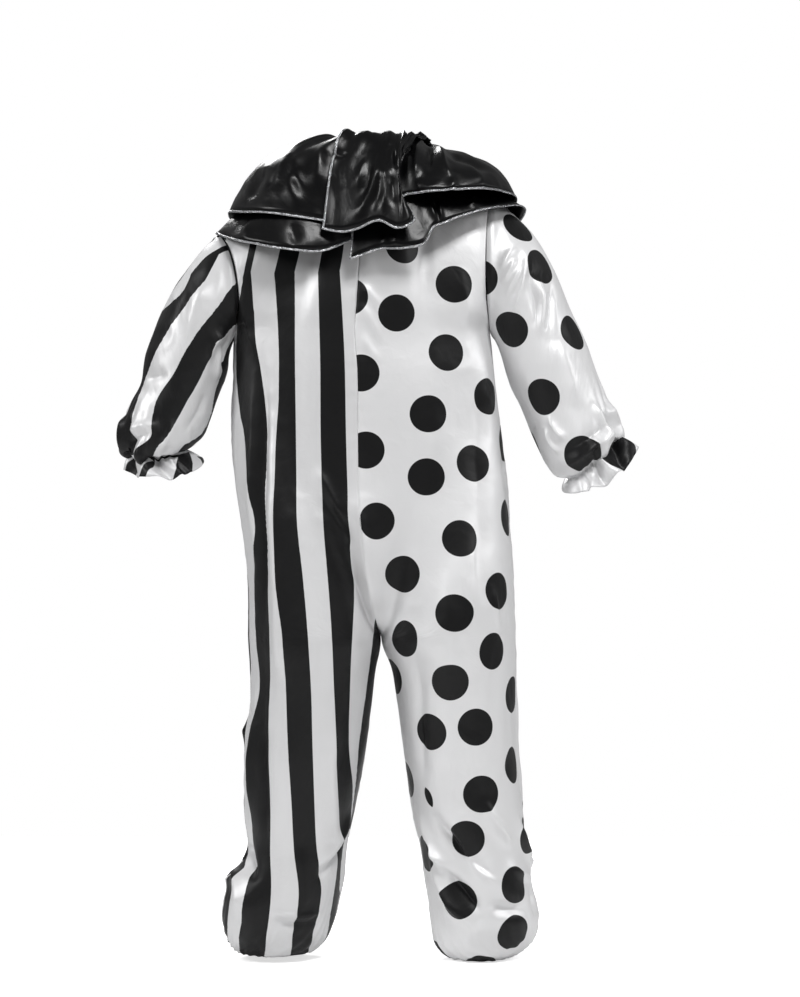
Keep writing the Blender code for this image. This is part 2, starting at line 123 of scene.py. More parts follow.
def smooth(value: Array, low: float = 0.0, high: float = 1.0) -> Array:
    """Smooth step.

    Args:
        value: Any array.
        low: Where the step starts, at 0.
        high: Where it ends, at 1.

    Returns:
        3 t^2 - 2 t^3, with t the clipped share of the way from low to high.
    """
    share = np.clip((value - low) / (high - low), 0.0, 1.0)
    return share * share * (3.0 - 2.0 * share)


def bell(distance: Array, width: float | Array, power: float = 2.0) -> Array:
    """A bump: 1 at no distance, falling as exp(-(distance / width) ^ power)."""
    return np.exp(-(np.abs(distance / width) ** power))


def uneven(noise: Array, mean: float, swing: float) -> Array:
    """A strength that swings to both sides of its mean as noise does: mean + swing x noise."""
    return mean + swing * noise


def spline(points: Array, knots: Array, at: Array) -> Array:
    """A smooth curve through points, read along its first axis.

    Args:
        points: One point, row or grid for each knot.
        knots: The rising place of each point along the curve.
        at: The places to read.

    Returns:
        Cubic Hermite values, with each slope the weighted mean of the steps on its two sides.
    """
    shape = (-1,) + (1,) * (points.ndim - 1)
    gap = np.diff(knots)
    step = np.diff(points, axis=0) / gap.reshape(shape)
    before, after = gap[:-1].reshape(shape), gap[1:].reshape(shape)
    inner = (after * step[:-1] + before * step[1:]) / (before + after)
    slope = np.concatenate([1.5 * step[:1] - 0.5 * inner[:1], inner, 1.5 * step[-1:] - 0.5 * inner[-1:]])
    span = np.clip(np.searchsorted(knots, at, side="right") - 1, 0, len(knots) - 2)
    wide = gap[span].reshape(shape)
    t = ((at - knots[span]) / gap[span]).reshape(shape)
    return (
        (2 * t**3 - 3 * t**2 + 1) * points[span]
        + (t**3 - 2 * t**2 + t) * wide * slope[span]
        + (3 * t**2 - 2 * t**3) * points[span + 1]
        + (t**3 - t**2) * wide * slope[span + 1]
    )


def run_along(points: Array, axis: int = 0) -> Array:
    """The rising length along an axis of a line or a grid, for each of its other lines."""
    step = np.linalg.norm(np.diff(points, axis=axis), axis=-1)
    return np.concatenate([0.0 * step.take([0], axis), np.cumsum(step, axis=axis)], axis=axis)


def lengths(grid: Array, axis: int) -> Array:
    """The rising length along an axis of a grid, as the mean over its other lines."""
    step = np.linalg.norm(np.diff(grid, axis=axis), axis=-1).mean(axis=1 - axis)
    return np.concatenate([[0.0], np.cumsum(step)])


def refined(grid: Array, rows: int, columns: int, closed: bool = False) -> Array:
    """A fine grid through every point of a coarse one.

    Args:
        grid: The coarse grid, (rows, columns, 3).
        rows: How many rows the fine grid has.
        columns: How many columns it has.
        closed: Whether the last column joins the first.

    Returns:
        The fine grid, evenly spaced down and across.
    """
    down = lengths(grid, 0)
    fine = spline(grid, down, np.linspace(0.0, down[-1], rows))
    if closed:
        fine = np.concatenate([fine[:, -3:], fine, fine[:, :4]], axis=1)
        across = lengths(fine, 1)
        start, end = across[3], across[-4]
        at = np.linspace(start, end, columns + 1)[:-1]
    else:
        across = lengths(fine, 1)
        at = np.linspace(0.0, across[-1], columns)
    return np.moveaxis(spline(np.moveaxis(fine, 1, 0), across, at), 0, 1)


def unit(vectors: Array) -> Array:
    """Vectors brought to unit length."""
    return vectors / np.maximum(np.linalg.norm(vectors, axis=-1, keepdims=True), 1e-12)


def normals_of(grid: Array, closed: bool = False) -> Array:
    """Unit normals of a grid, from the cross product of its steps down and across."""
    if closed:
        wide = np.concatenate([grid[:, -1:], grid, grid[:, :1]], axis=1)
        across = wide[:, 2:] - wide[:, :-2]
    else:
        across = np.gradient(grid, axis=1)
    return unit(np.cross(np.gradient(grid, axis=0), across))


def corners_of(values: Array) -> Array:
    """The values at the four corners of each of a grid's faces."""
    return np.stack([values[:-1, :-1], values[1:, :-1], values[1:, 1:], values[:-1, 1:]], axis=2)


def faces_of(rows: int, columns: int, closed: bool) -> Array:
    """The point numbers of a grid's faces, (faces, 4). Its last column joins the first if closed."""
    at = np.arange(rows * columns).reshape(rows, columns)
    return corners_of(np.concatenate([at, at[:, :1]], axis=1) if closed else at).reshape(-1, 4)


class Noise:
    """Smooth repeatable noise in space, from a seeded lattice of random numbers."""

    CELLS = 32
    SHIFT = 7.3  # cells between the origin and the lattice's own corner
    STEEP = 1.8  # how fast a crease falls away from its crest

    def __init__(self, seed: int) -> None:
        """Draws the lattice."""
        self.lattice = np.random.default_rng(seed).random((self.CELLS,) * 3)

    def at(self, points: Array, size: Sequence[float]) -> Array:
        """Noise at points.

        Args:
            points: Points, (..., 3), in metres.
            size: The size of one lattice cell along X, Y and Z, in metres.

        Returns:
            Values from -1 to 1, smoothly mixed between the eight corners of each point's cell.
        """
        place = points / np.asarray(size) + self.SHIFT
        low = np.floor(place).astype(int)
        t = place - low
        t = t * t * (3.0 - 2.0 * t)
        total = np.zeros(points.shape[:-1])
        for corner in np.ndindex(2, 2, 2):
            cell = (low + corner) % self.CELLS
            weight = np.prod(np.where(corner, t, 1.0 - t), axis=-1)
            total += weight * self.lattice[cell[..., 0], cell[..., 1], cell[..., 2]]
        return 2.0 * total - 1.0

    def ridged(self, points: Array, size: Sequence[float], soft: float = 0.12) -> Array:
        """Creases where the noise crosses zero: 1 on a crest, falling to 0, rounded by soft."""
        return 1.0 - np.clip(np.sqrt(self.at(points, size) ** 2 + soft**2) * self.STEEP, 0.0, 1.0)


# ---- materials


def linear(colour: str, share: float = 1.0) -> Colour:
    """A share of a colour given as sRGB hex, such as "#d8d8dc", in linear light with alpha 1."""
    values = [int(colour[i : i + 2], 16) / 255.0 for i in (1, 3, 5)]
    turned = [v / 12.92 if v <= 0.04045 else ((v + 0.055) / 1.055) ** 2.4 for v in values]
    return (turned[0] * share, turned[1] * share, turned[2] * share, 1.0)


class Nodes:
    """A material's node tree, with short ways to add to it."""

    def __init__(self, name: str) -> None:
        """Makes the material and finds its shader."""
        self.material = bpy.data.materials.new(name)
        self.material.use_nodes = True
        self.tree = self.material.node_tree
        self.shader = self.tree.nodes["Principled BSDF"]

    def add(
        self,
        kind: str,
        links: dict[Any, Any] | None = None,
        values: dict[Any, Any] | None = None,
        **settings: Any,
    ) -> Any:
        """Adds a node.

        Args:
            kind: The node's type, such as "ShaderNodeMath".
            links: Output sockets to join to its inputs, by the input's name or index.
            values: Values for its inputs, by name or index.
            **settings: The node's own properties.

        Returns:
            The node.
        """
        node = self.tree.nodes.new(kind)
        for name, value in settings.items():
            setattr(node, name, value)
        for name, value in (values or {}).items():
            node.inputs[name].default_value = value
        for name, socket in (links or {}).items():
            self.tree.links.new(socket, node.inputs[name])
        return node

    def shade(self, links: dict[str, Any] | None = None, **values: Any) -> None:
        """Sets the shader's own sockets, given with underscores for spaces, and joins others."""
        for name, value in values.items():
            self.shader.inputs[name.replace("_", " ").title()].default_value = value
        for name, socket in (links or {}).items():
            self.tree.links.new(socket, self.shader.inputs[name])

    def between(self, share: Any, low: float, high: float) -> Any:
        """A number socket that runs from low to high as a share runs from 0 to 1."""
        return self.add("ShaderNodeMapRange", {"Value": share}, {"To Min": low, "To Max": high}).outputs[0]

    def mottled(self, share: Any, colour: str, darkest: float) -> Any:
        """A colour socket between a colour and its darkest share, mixed by a socket's share."""
        ends = {6: linear(colour), 7: linear(colour, darkest)}
        return self.add("ShaderNodeMix", {0: share}, ends, data_type="RGBA").outputs[2]


@dataclass(frozen=True)
class PolyesterSatin:
    """Woven polyester satin: long warp floats give a bright, soft, stretched highlight.

    The cloth is thin, so it shows broad ripples and small crumples, and the floats make it shine along one
    way. The real threads are 0.15 mm apart, too fine to show, so the ribs are drawn 1.6 mm apart.
    """

    name: str
    light: str
    dark: str = "#121213"
    light_roughness: float = 0.47
    dark_roughness: float = 0.46
    rib_mm: float = 1.6
    crumple_mm: float = 26.0
    crumple: float = 0.42
    sheen: float = 0.02
    anisotropic: float = 0.55
    edge_mm: float = 0.35
    rib_depth: float = 0.03
    metallic: float = 0.22
    ior: float = 1.50
    dark_ior: float = 1.38
    tone_size: float = 0.25
    light_mottle: float = 0.93
    dark_mottle: float = 0.80

    def make(self) -> bpy.types.Material:
        """Builds the material.

        Returns:
            A material that reads the cloth's own UV map and its ink attribute.
        """
        nodes = Nodes(self.name)
        ink = nodes.add("ShaderNodeAttribute", attribute_name=INK)
        mask = nodes.add(
            "ShaderNodeMapRange",
            {"Value": ink.outputs["Fac"]},
            {"From Min": -self.edge_mm, "From Max": self.edge_mm},
        ).outputs["Result"]
        place = nodes.add("ShaderNodeUVMap", uv_map=CLOTH_UV)
        tone = nodes.add(
            "ShaderNodeTexNoise",
            {"Vector": place.outputs["UV"]},
            {"Scale": 1.0 / self.tone_size, "Detail": 2.0},
        ).outputs["Fac"]
        light = nodes.mottled(tone, self.light, self.light_mottle)
        dark = nodes.mottled(tone, self.dark, self.dark_mottle)
        colour = nodes.add("ShaderNodeMix", {0: mask, 6: light, 7: dark}, data_type="RGBA")
        tangent = nodes.add("ShaderNodeTangent", direction_type="UV_MAP", uv_map=CLOTH_UV)
        nodes.shade(
            {
                "Base Color": colour.outputs[2],
                "Roughness": nodes.between(mask, self.light_roughness, self.dark_roughness),
                "Normal": self._relief(nodes, place),
                "Tangent": tangent.outputs["Tangent"],
                # Ink fills the weave, so the dark of a print shines less than the cloth beside it.
                "IOR": nodes.between(mask, self.ior, self.dark_ior),
            },
            metallic=self.metallic,
            anisotropic=self.anisotropic,
            sheen_weight=self.sheen,
            sheen_roughness=0.45,
        )
        nodes.material.diffuse_color = linear(self.light)
        return nodes.material

    def _relief(self, nodes: Nodes, place: Any) -> Any:
        """Satin's small crumples with its ribs on them, as one normal socket."""
        crumple = nodes.add(
            "ShaderNodeTexNoise",
            {"Vector": place.outputs["UV"]},
            {"Scale": 1.0 / (self.crumple_mm * MM), "Detail": 3.0, "Roughness": 0.45, "Distortion": 0.6},
        )
        broad = nodes.add(
            "ShaderNodeBump",
            {"Height": crumple.outputs["Fac"]},
            {"Strength": self.crumple, "Distance": 2.0 * MM},
        )
        rib = nodes.add(
            "ShaderNodeTexWave",
            {"Vector": place.outputs["UV"]},
            # A wave texture has 2 pi / 20 of a turn to each unit, so its scale is worked out from that.
            {"Scale": TURN / 20.0 / (self.rib_mm * MM), "Distortion": 1.5, "Detail": 1.0},
            bands_direction="X",
        )
        return nodes.add(
            "ShaderNodeBump",
            {"Height": rib.outputs["Fac"], "Normal": broad.outputs["Normal"]},
            {"Strength": self.rib_depth, "Distance": 0.1 * MM},
        ).outputs["Normal"]


@dataclass(frozen=True)
class SilverThread:
    """Metallic thread overlocked on an edge: tiny facets that glint each their own way.

    The real thread is 0.3 mm thick. Its glints are drawn 1.8 mm across, so that they show.
    """

    name: str
    colour: str = "#c9cacd"
    glint_mm: float = 1.8
    darkest: float = 0.25

    def make(self) -> bpy.types.Material:
        """Builds the material, on Object coordinates."""
        nodes = Nodes(self.name)
        place = nodes.add("ShaderNodeTexCoord").outputs["Object"]
        cells = nodes.add("ShaderNodeTexVoronoi", {"Vector": place}, {"Scale": 1.0 / (self.glint_mm * MM)})
        tint = nodes.mottled(cells.outputs["Color"], self.colour, self.darkest)
        turn = nodes.add(
            "ShaderNodeBump", {"Height": cells.outputs["Distance"]}, {"Strength": 0.9, "Distance": 1.0 * MM}
        )
        nodes.shade({"Base Color": tint, "Normal": turn.outputs["Normal"]}, metallic=1.0, roughness=0.30)
        nodes.material.diffuse_color = linear(self.colour)
        return nodes.material


@dataclass(frozen=True)
class StudioPaper:
    """Matt white background paper, burnt out to the eye by its own lamps, which don't light the cloth."""

    name: str = "studio_paper"
    colour: str = "#f7f7f7"
    glow: float = 0.70
    darkest: float = 0.99

    def make(self) -> bpy.types.Material:
        """Builds the material, with a faint mottle on Object coordinates."""
        nodes = Nodes(self.name)
        place = nodes.add("ShaderNodeTexCoord").outputs["Object"]
        mottle = nodes.add("ShaderNodeTexNoise", {"Vector": place}, {"Scale": 2.0})
        seen = nodes.add("ShaderNodeLightPath").outputs["Is Camera Ray"]
        nodes.shade(
            {
                "Base Color": nodes.mottled(mottle.outputs["Fac"], self.colour, self.darkest),
                "Emission Strength": nodes.between(seen, 0.0, self.glow),
            },
            roughness=0.9,
            emission_color=linear(self.colour),
        )
        return nodes.material


# ---- surfaces


def linked(name: str, data: Any) -> bpy.types.Object:
    """An object made from data, linked to the scene."""
    thing = bpy.data.objects.new(name, data)
    bpy.context.scene.collection.objects.link(thing)
    return thing


def add_mesh(name: str, points: list, faces: list, material: bpy.types.Material) -> bpy.types.Object:
    """Adds a smooth mesh object at the origin.

    Args:
        name: The name of the object and its mesh.
        points: Its points, in metres.
        faces: The point numbers of each face.
        material: Its finish.

    Returns:
        The object.
    """
    mesh = bpy.data.meshes.new(name)
    mesh.from_pydata(points, [], faces)
    mesh.shade_smooth()
    mesh.materials.append(material)
    return linked(name, mesh)


@dataclass
class Surface:
    """A piece of cloth as a grid of points, with its normals and its own flat coordinates."""

    name: str
    grid: Array
    closed: bool = False
    normals: Array = field(init=False)
    across: Array = field(init=False)
    down: Array = field(init=False)
    rest: Array = field(init=False)

    def __post_init__(self) -> None:
        """Works out the normals, and the metres across and down the cloth at each point."""
        self.rest = self.grid.copy()
        self.normals = normals_of(self.grid, self.closed)
        self.across = run_along(self.grid, 1)
        self.down = run_along(self.grid, 0)

    def face(self, way: Array) -> None:
        """Turns the normals round where most of them point against the given way out."""
        if np.sum(self.normals * way) < 0:
            self.normals = -self.normals

    def width(self) -> Array:
        """The cloth's width at each row."""
        return self.across[:, -1:]

    def move(self, distance: Array) -> None:
        """Moves each point along its normal."""
        self.grid = self.grid + self.normals * distance[..., None]

    def from_edges(self) -> Array:
        """The metres from each point to the nearer side edge."""
        return np.minimum(self.across, self.width() - self.across)

    def mesh(self, finish: "Finish", thickness: float, ink: Array | None = None) -> bpy.types.Object:
        """Puts the grid into a mesh object with a thin wall.

        Args:
            finish: Its finish.
            thickness: How thick the wall is, inwards from the grid.
            ink: Millimetres into the dark of the print at each point, with the painted seam shadow on the
                striped sleeve, or None for none.

        Returns:
            The object, at the origin.
        """
        across, down = self.across, self.down
        if self.closed:
            last = np.linalg.norm(self.grid[:, :1] - self.grid[:, -1:], axis=-1)
            across = np.concatenate([across, across[:, -1:] + last], axis=1)
            down = np.concatenate([down, down[:, :1]], axis=1)
        faces = faces_of(*self.grid.shape[:2], self.closed)
        flat = corners_of(np.stack([across, -down], axis=-1)).reshape(-1, 4, 2)
        if np.sum(normals_of(self.grid, self.closed) * self.normals) < 0:
            faces, flat = faces[:, ::-1], flat[:, ::-1]
        points = self.grid.reshape(-1, 3).tolist()
        piece = add_mesh(f"{self.name}_cloth", points, faces.tolist(), finish.get())
        piece.data.uv_layers.new(name=CLOTH_UV).data.foreach_set("uv", flat.astype(np.float32).ravel())
        dark = np.full(self.grid.shape[:2], NO_INK) if ink is None else ink
        inked = piece.data.attributes.new(INK, "FLOAT", "POINT")
        inked.data.foreach_set("value", dark.astype(np.float32).ravel())
        wall = piece.modifiers.new("wall", "SOLIDIFY")
        wall.thickness = thickness
        wall.offset = -1.0
        wall.use_even_offset = False
        return piece


class Seats:
    """Finds the point of one or more cloths at rest that shows at a charted place."""

    REACH = 3.0 * MM  # a point this much further from the place than the nearest is still at it

    def __init__(self, cloths: Sequence[Surface]) -> None:
        """Joins the cloths' points."""
        self.points = np.concatenate([cloth.rest.reshape(-1, 3) for cloth in cloths])
        self.normals = np.concatenate([cloth.normals.reshape(-1, 3) for cloth in cloths])

    def seat(self, view: View, across: float, height: float) -> Array:
        """The point that shows at a place.

        Args:
            view: The side it is seen from.
            across: The place on that view's level axis, in metres.
            height: The place in Z.

        Returns:
            The point: of those nearest the place that face the eye, the one nearest the eye.
        """
        level, depth, sign = view.value
        away = (self.points[:, level] - across) ** 2 + (self.points[:, 2] - height) ** 2
        away = np.where(self.normals[:, depth] * sign > 0.0, away, away + HIDDEN)
        close = np.flatnonzero(away < away.min() + self.REACH**2)
        point = self.points[close[np.argmax(self.points[close, depth] * sign)]].copy()
        point[level], point[2] = across, height
        return point


# ---- folds


@dataclass(frozen=True)
class Fold:
    """One crease: a soft ridge or trough along a bent line on the cloth, tapered at both ends."""

    view: View
    start: Place
    middle: Place
    end: Place
    width: float
    height: float
    flare: float
    blunt: float = 0.35
    crest: float = 1.35

    STEPS = 14
    REACH = 3.0  # widths past which it moves nothing

    def lift(self, points: Array, seats: Seats) -> Array:
        """How far the fold moves each point.

        Args:
            points: The cloth's rest points, (n, 3).
            seats: Finds the point of the cloth at a charted place.

        Returns:
            height x bell(distance to the fold's line) x a taper that is 0 at its two ends.
        """
        share = np.linspace(0.0, 1.0, self.STEPS + 1)[:, None]
        a, b, c = (seats.seat(self.view, *place) for place in (self.start, self.middle, self.end))
        control = 2.0 * b - 0.5 * (a + c)
        line = (1 - share) ** 2 * a + 2 * share * (1 - share) * control + share**2 * c
        reach = self.REACH * self.width * max(1.0, self.flare)
        near = np.all((points > line.min(0) - reach) & (points < line.max(0) + reach), axis=1)
        moved = np.zeros(len(points))
        if not near.any():
            return moved
        local = points[near]
        start, way = line[:-1], np.diff(line, axis=0)
        along = np.einsum("nsk,sk->ns", local[:, None] - start, way) / np.sum(way**2, axis=1)
        along = np.clip(along, 0.0, 1.0)
        away = np.linalg.norm(local[:, None] - start - along[..., None] * way, axis=-1)
        best = away.argmin(axis=1)
        rows = np.arange(len(local))
        place = (best + along[rows, best]) / self.STEPS
        width = self.width * (1.0 + (self.flare - 1.0) * place)
        taper = smooth(place, 0.0, self.blunt) * smooth(1.0 - place, 0.0, self.blunt)
        moved[near] = self.height * bell(away[rows, best], width, self.crest) * taper
        return moved


SUIT_RELIEF = 1.9  # the suit's folds are deeper than charted, because the studio light is soft
COLLAR_RELIEF = 1.15


def folds_of(charts: Sequence[tuple[View, Table]], relief: float) -> list[Fold]:
    """Folds from charts of them.

    Args:
        charts: For each view, rows of start, middle, end, width and height in millimetres, and flare.
        relief: How many times deeper than charted they are.

    Returns:
        The folds in metres.
    """
    return [
        Fold(view, start, middle, end, width * MM, relief * height * MM, flare)
        for view, rows in charts
        for start, middle, end, width, height, flare in rows
    ]


# ---- prints


@dataclass(frozen=True)
class Stripes:
    """A striped print, charted by its edges: each is the places that it runs through, from the top down.

    Cloth before the first edge is light, or dark if dark_first, and it changes at each edge. Past the charted
    edges the stripes go on at their regular width, but for the one past the last edge: last_widths gives its
    width at some heights, from the top down.
    """

    edges: tuple[tuple[Place, ...], ...]
    width: float = 0.044
    view: View = View.BACK
    dark_first: bool = False
    last_widths: tuple[tuple[float, float], ...] = ((0.0, 0.044),)
    straight_past: bool = False
    spare: int = 12
    step: float = 0.004

    FACING = -0.05  # the least turn towards the eye of cloth that an edge is seated on
    STEEPEST = 0.2  # the least share, squared, by which cloth turned edge-on is taken to run across the view

    def ink(self, cloth: Surface) -> Array:
        """Millimetres into the dark stripes at each point: a triangle wave of the stripes' count."""
        rows = np.arange(cloth.grid.shape[0], dtype=float)
        places = np.array([self._across(cloth, edge, rows) for edge in self.edges]).T
        onward = np.sign(places[:, -1].mean() - places[:, 0].mean())
        heights, widths = np.array(self.last_widths[::-1]).T
        last = np.interp(cloth.rest[..., 2].mean(axis=1), heights, widths)
        # Where a crease moves the last edge but not the cloth past it, the stripes there run straight.
        past = np.polyval(np.polyfit(rows, places[:, -1], 1), rows) if self.straight_past else places[:, -1]
        regular = self.width * np.arange(self.spare)
        before = places[:, :1] - onward * (regular[::-1] + self.width)
        after = (past + onward * last)[:, None] + onward * regular
        every = np.concatenate([before, places, after], axis=1)
        run = self._run(cloth)[..., None] - every[:, None, :]
        total = np.abs(run).min(axis=-1)
        passed = (onward * run > 0.0).sum(axis=-1)
        dark = (passed + self.spare + self.dark_first) % 2 == 1
        return np.where(dark, total, -total) / MM

    @staticmethod
    def _run(cloth: Surface) -> Array:
        """The metres across the cloth at each point, from its middle column."""
        middle = cloth.across.shape[1] // 2
        return cloth.across - cloth.across[:, middle : middle + 1]

    def _across(self, cloth: Surface, edge: Sequence[Place], rows: Array) -> Array:
        """Where an edge lies across the cloth at each row.

        Args:
            cloth: The cloth.
            edge: The places that the edge runs through.
            rows: The rows' numbers.

        Returns:
            Metres from the middle column, by seating points along the edge and reading between them.
        """
        level = self.view.value[0]
        run, columns = self._run(cloth), cloth.grid.shape[1]
        charted = np.array(edge)
        knots = run_along(charted)
        places = spline(charted, knots, np.arange(0.0, knots[-1], self.step))
        outwards = cloth.normals[..., 1 - level] * self.view.value[2] > self.FACING
        found = []
        for place in places:
            gap = (cloth.rest[..., level] - place[0]) ** 2 + (cloth.rest[..., 2] - place[1]) ** 2
            row, column = divmod(int(np.argmin(np.where(outwards, gap, gap + HIDDEN))), columns)
            low, high = max(column - 1, 0), min(column + 1, columns - 1)
            wide = run[row, high] - run[row, low]
            way = (cloth.rest[row, high] - cloth.rest[row, low])[[level, 2]] / wide
            left = place - cloth.rest[row, column][[level, 2]]
            # Inside the panel the edge lies within half a step of the nearest column. Past the panel's own
            # edge it may lie far off.
            most = wide / 2.0 if 0 < column < columns - 1 else self.width * self.spare
            past = np.clip(left @ way / max(way @ way, self.STEEPEST), -most, most)
            found.append((row, run[row, column] + past))
        found = np.array(sorted(found), float)
        level_rows, first = np.unique(found[:, 0], return_index=True)
        mean = np.add.reduceat(found[:, 1], first) / np.diff(np.append(first, len(found)))
        return np.interp(rows, level_rows, mean)


@dataclass(frozen=True)
class Dots:
    """A dotted print: dots charted where they show, and a staggered lattice of the same dots elsewhere.

    Of a pleated dot a crease swallows all but a lens, which is drawn as the overlap of two dots.
    """

    seen: tuple[Place, ...]
    view: View = View.BACK
    radius: float = 0.036
    pitch: float = 0.128
    row_share: float = 0.86
    clear: float = 0.112
    offset: float = 0.03
    pleated: tuple[Place, ...] = ()
    swallowed: Place = (0.027, -0.010)

    def ink(self, cloth: Surface) -> Array:
        """Millimetres into the nearest dot at each point: its radius less the distance to its middle."""
        seats = Seats([cloth])
        centres = [seats.seat(self.view, *place) for place in self.seen]
        for point in self._lattice(cloth):
            if all(np.linalg.norm(point - other) > self.clear for other in centres):
                centres.append(point)
        away = np.full(cloth.rest.shape[:2], np.inf)
        for centre in centres:
            away = np.minimum(away, np.linalg.norm(cloth.rest - centre, axis=-1))
        for place in self.pleated:
            centre, apart = seats.seat(self.view, *place), np.zeros(3)
            apart[[self.view.value[0], 2]] = self.swallowed
            pair = [np.linalg.norm(cloth.rest - centre + way * apart, axis=-1) for way in (-1.0, 1.0)]
            away = np.minimum(away, np.maximum(*pair))
        return (self.radius - away) / MM

    def _lattice(self, cloth: Surface) -> list[Array]:
        """Points of a staggered lattice on the cloth, alternate rows half a pitch along."""
        wide, long = cloth.width().max(), cloth.down.max()
        found = []
        for number, fall in enumerate(np.arange(self.offset, long, self.pitch * self.row_share)):
            row = int(np.argmin(np.abs(cloth.down[:, 0] - fall)))
            for run in np.arange(self.offset + (number % 2) * self.pitch / 2, wide, self.pitch):
                if run <= cloth.across[row, -1]:
                    column = int(np.argmin(np.abs(cloth.across[row] - run)))
                    found.append(cloth.rest[row, column])
        return found


# ---- the suit's cut


@dataclass(frozen=True)
class Neckline:
    """The ring round the neck that the suit, the band and the collar share. It dips at the front."""

    x: float = -0.006
    y: float = -0.005
    wide: float = 0.084
    deep: float = 0.082
    back_z: float = -0.008
    dip: float = 0.034

    def at(self, azimuth: Array | float) -> Array:
        """Its points: an ellipse in plan, lowered by dip x ((1 - cos azimuth) / 2) ^ 2.

        Args:
            azimuth: Radians from the back, growing towards the wearer's left.

        Returns:
            Points, (..., 3).
        """
        azimuth = np.asarray(azimuth, float)
        fall = self.dip * (0.5 - 0.5 * np.cos(azimuth)) ** 2
        return np.stack(
            [self.x + self.wide * np.sin(azimuth), self.y + self.deep * np.cos(azimuth), self.back_z - fall],
            axis=-1,
        )

    @property
    def middle(self) -> Array:
        """The point in its middle, at height 0."""
        return np.array([self.x, self.y, 0.0])


@dataclass(frozen=True)
class SuitBlock:
    """The suit's pattern block: the levels of its trunk and legs, and its armholes and neck points."""

    neckline: Neckline = Neckline()
    columns: int = 10
    neck_columns: int = 3
    armhole_rows: int = 8
    boxiness: float = 0.86
    part_from: float = 0.35
    fold_end: float = 0.10
    armhole_ease: float = 0.65  # how much of the armhole's fall is eased at its two ends
    armhole_round: float = 0.8
    neck_pull: float = 0.4  # how much of the centre seam's shift at the underarm the neckline has
    shoulder_rise: float = 0.012
    trunk_columns: tuple[str, ...] = (
        "z", "left", "right", "centre_back", "centre_front", "back", "front", "split", "part",
    )
    trunk: Table = (
        (-0.358, 0.275, -0.223, 0.040, -0.045, 0.135, -0.150, 0.000, 0.00),
        (-0.443, 0.278, -0.232, 0.035, -0.045, 0.138, -0.158, 0.000, 0.00),
        (-0.575, 0.284, -0.247, 0.034, -0.045, 0.140, -0.160, 0.000, 0.07),
        (-0.654, 0.285, -0.256, 0.033, -0.043, 0.145, -0.158, 0.000, 0.20),
        (-0.740, 0.276, -0.258, 0.029, -0.040, 0.158, -0.155, 0.000, 0.42),
        (-0.825, 0.260, -0.265, 0.020, -0.032, 0.165, -0.152, 0.076, 0.65),
        (-0.898, 0.250, -0.268, 0.007, -0.024, 0.166, -0.150, 0.293, 0.85),
        (-0.946, 0.251, -0.270, -0.005, -0.015, 0.166, -0.147, 0.617, 0.97),
    )
    leg_columns: tuple[str, ...] = ("z", "inner", "outer", "back", "front")
    legs: dict[str, Table] = field(
        default_factory=lambda: {
            "left": (
                (-0.963, -0.010, 0.253, 0.165, -0.145),
                (-1.025, 0.000, 0.249, 0.158, -0.138),
                (-1.087, 0.008, 0.247, 0.150, -0.130),
                (-1.217, 0.026, 0.258, 0.138, -0.118),
                (-1.314, 0.043, 0.258, 0.128, -0.112),
                (-1.375, 0.056, 0.254, 0.122, -0.108),
                (-1.436, 0.061, 0.284, 0.122, -0.112),
                (-1.481, 0.071, 0.301, 0.120, -0.116),
                (-1.531, 0.085, 0.301, 0.110, -0.112),
                (-1.566, 0.106, 0.286, 0.092, -0.098),
                (-1.582, 0.128, 0.270, 0.074, -0.082),
            ),
            "right": (
                (-0.963, -0.010, -0.273, 0.165, -0.145),
                (-1.025, -0.030, -0.274, 0.158, -0.138),
                (-1.087, -0.041, -0.274, 0.150, -0.130),
                (-1.217, -0.060, -0.278, 0.138, -0.118),
                (-1.314, -0.072, -0.290, 0.128, -0.112),
                (-1.375, -0.086, -0.294, 0.122, -0.108),
                (-1.436, -0.094, -0.305, 0.122, -0.112),
                (-1.481, -0.102, -0.315, 0.120, -0.116),
                (-1.531, -0.108, -0.319, 0.112, -0.112),
                (-1.568, -0.118, -0.303, 0.094, -0.098),
                (-1.592, -0.140, -0.264, 0.072, -0.080),
            ),
        }
    )
    armholes: dict[str, dict[str, Any]] = field(
        default_factory=lambda: {
            "left": {"tip": (0.308, -0.170), "pit": (0.275, -0.358), "cut_in": 0.022, "depth": 0.088},
            "right": {"tip": (-0.225, -0.098), "pit": (-0.223, -0.358), "cut_in": 0.010, "depth": 0.090},
        }
    )
    neck_point_x: dict[str, float] = field(default_factory=lambda: {"left": 0.076, "right": -0.088})
    fold_columns: tuple[str, ...] = ("piece", "from_round", "from_z", "to_round", "to_z", "width", "depth")
    folds: Table = (
        ("back_left", 0.55, -0.40, 0.62, -1.40, 0.24, 0.007),
        ("back_left", 0.85, -0.62, 0.80, -1.10, 0.20, -0.006),
        ("back_right", 0.70, -0.38, 0.55, -1.00, 0.24, 0.007),
        ("back_right", 0.30, -1.25, 0.75, -1.50, 0.22, 0.009),
        ("front_left", 0.50, -0.38, 0.45, -1.30, 0.24, 0.008),
        ("front_right", 0.55, -0.40, 0.50, -1.30, 0.24, 0.008),
        ("front_left", 0.70, -1.35, 0.30, -1.50, 0.24, 0.008),
        ("front_right", 0.35, -1.34, 0.70, -1.50, 0.24, 0.008),
    )

    def trunk_section(self, row: dict[str, float], side: Side, face: Face) -> Array:
        """One level of the trunk as (x, y): a quarter of a superellipse, from its centre seam to its side."""
        turn = np.linspace(0.0, math.pi / 2, self.columns + 1)
        centre = row[f"centre_{face.value}"]
        x = centre + (row[side.value] - centre) * np.sin(turn) ** self.boxiness
        return np.stack([x, row[face.value] * np.cos(turn) ** self.boxiness], axis=-1)

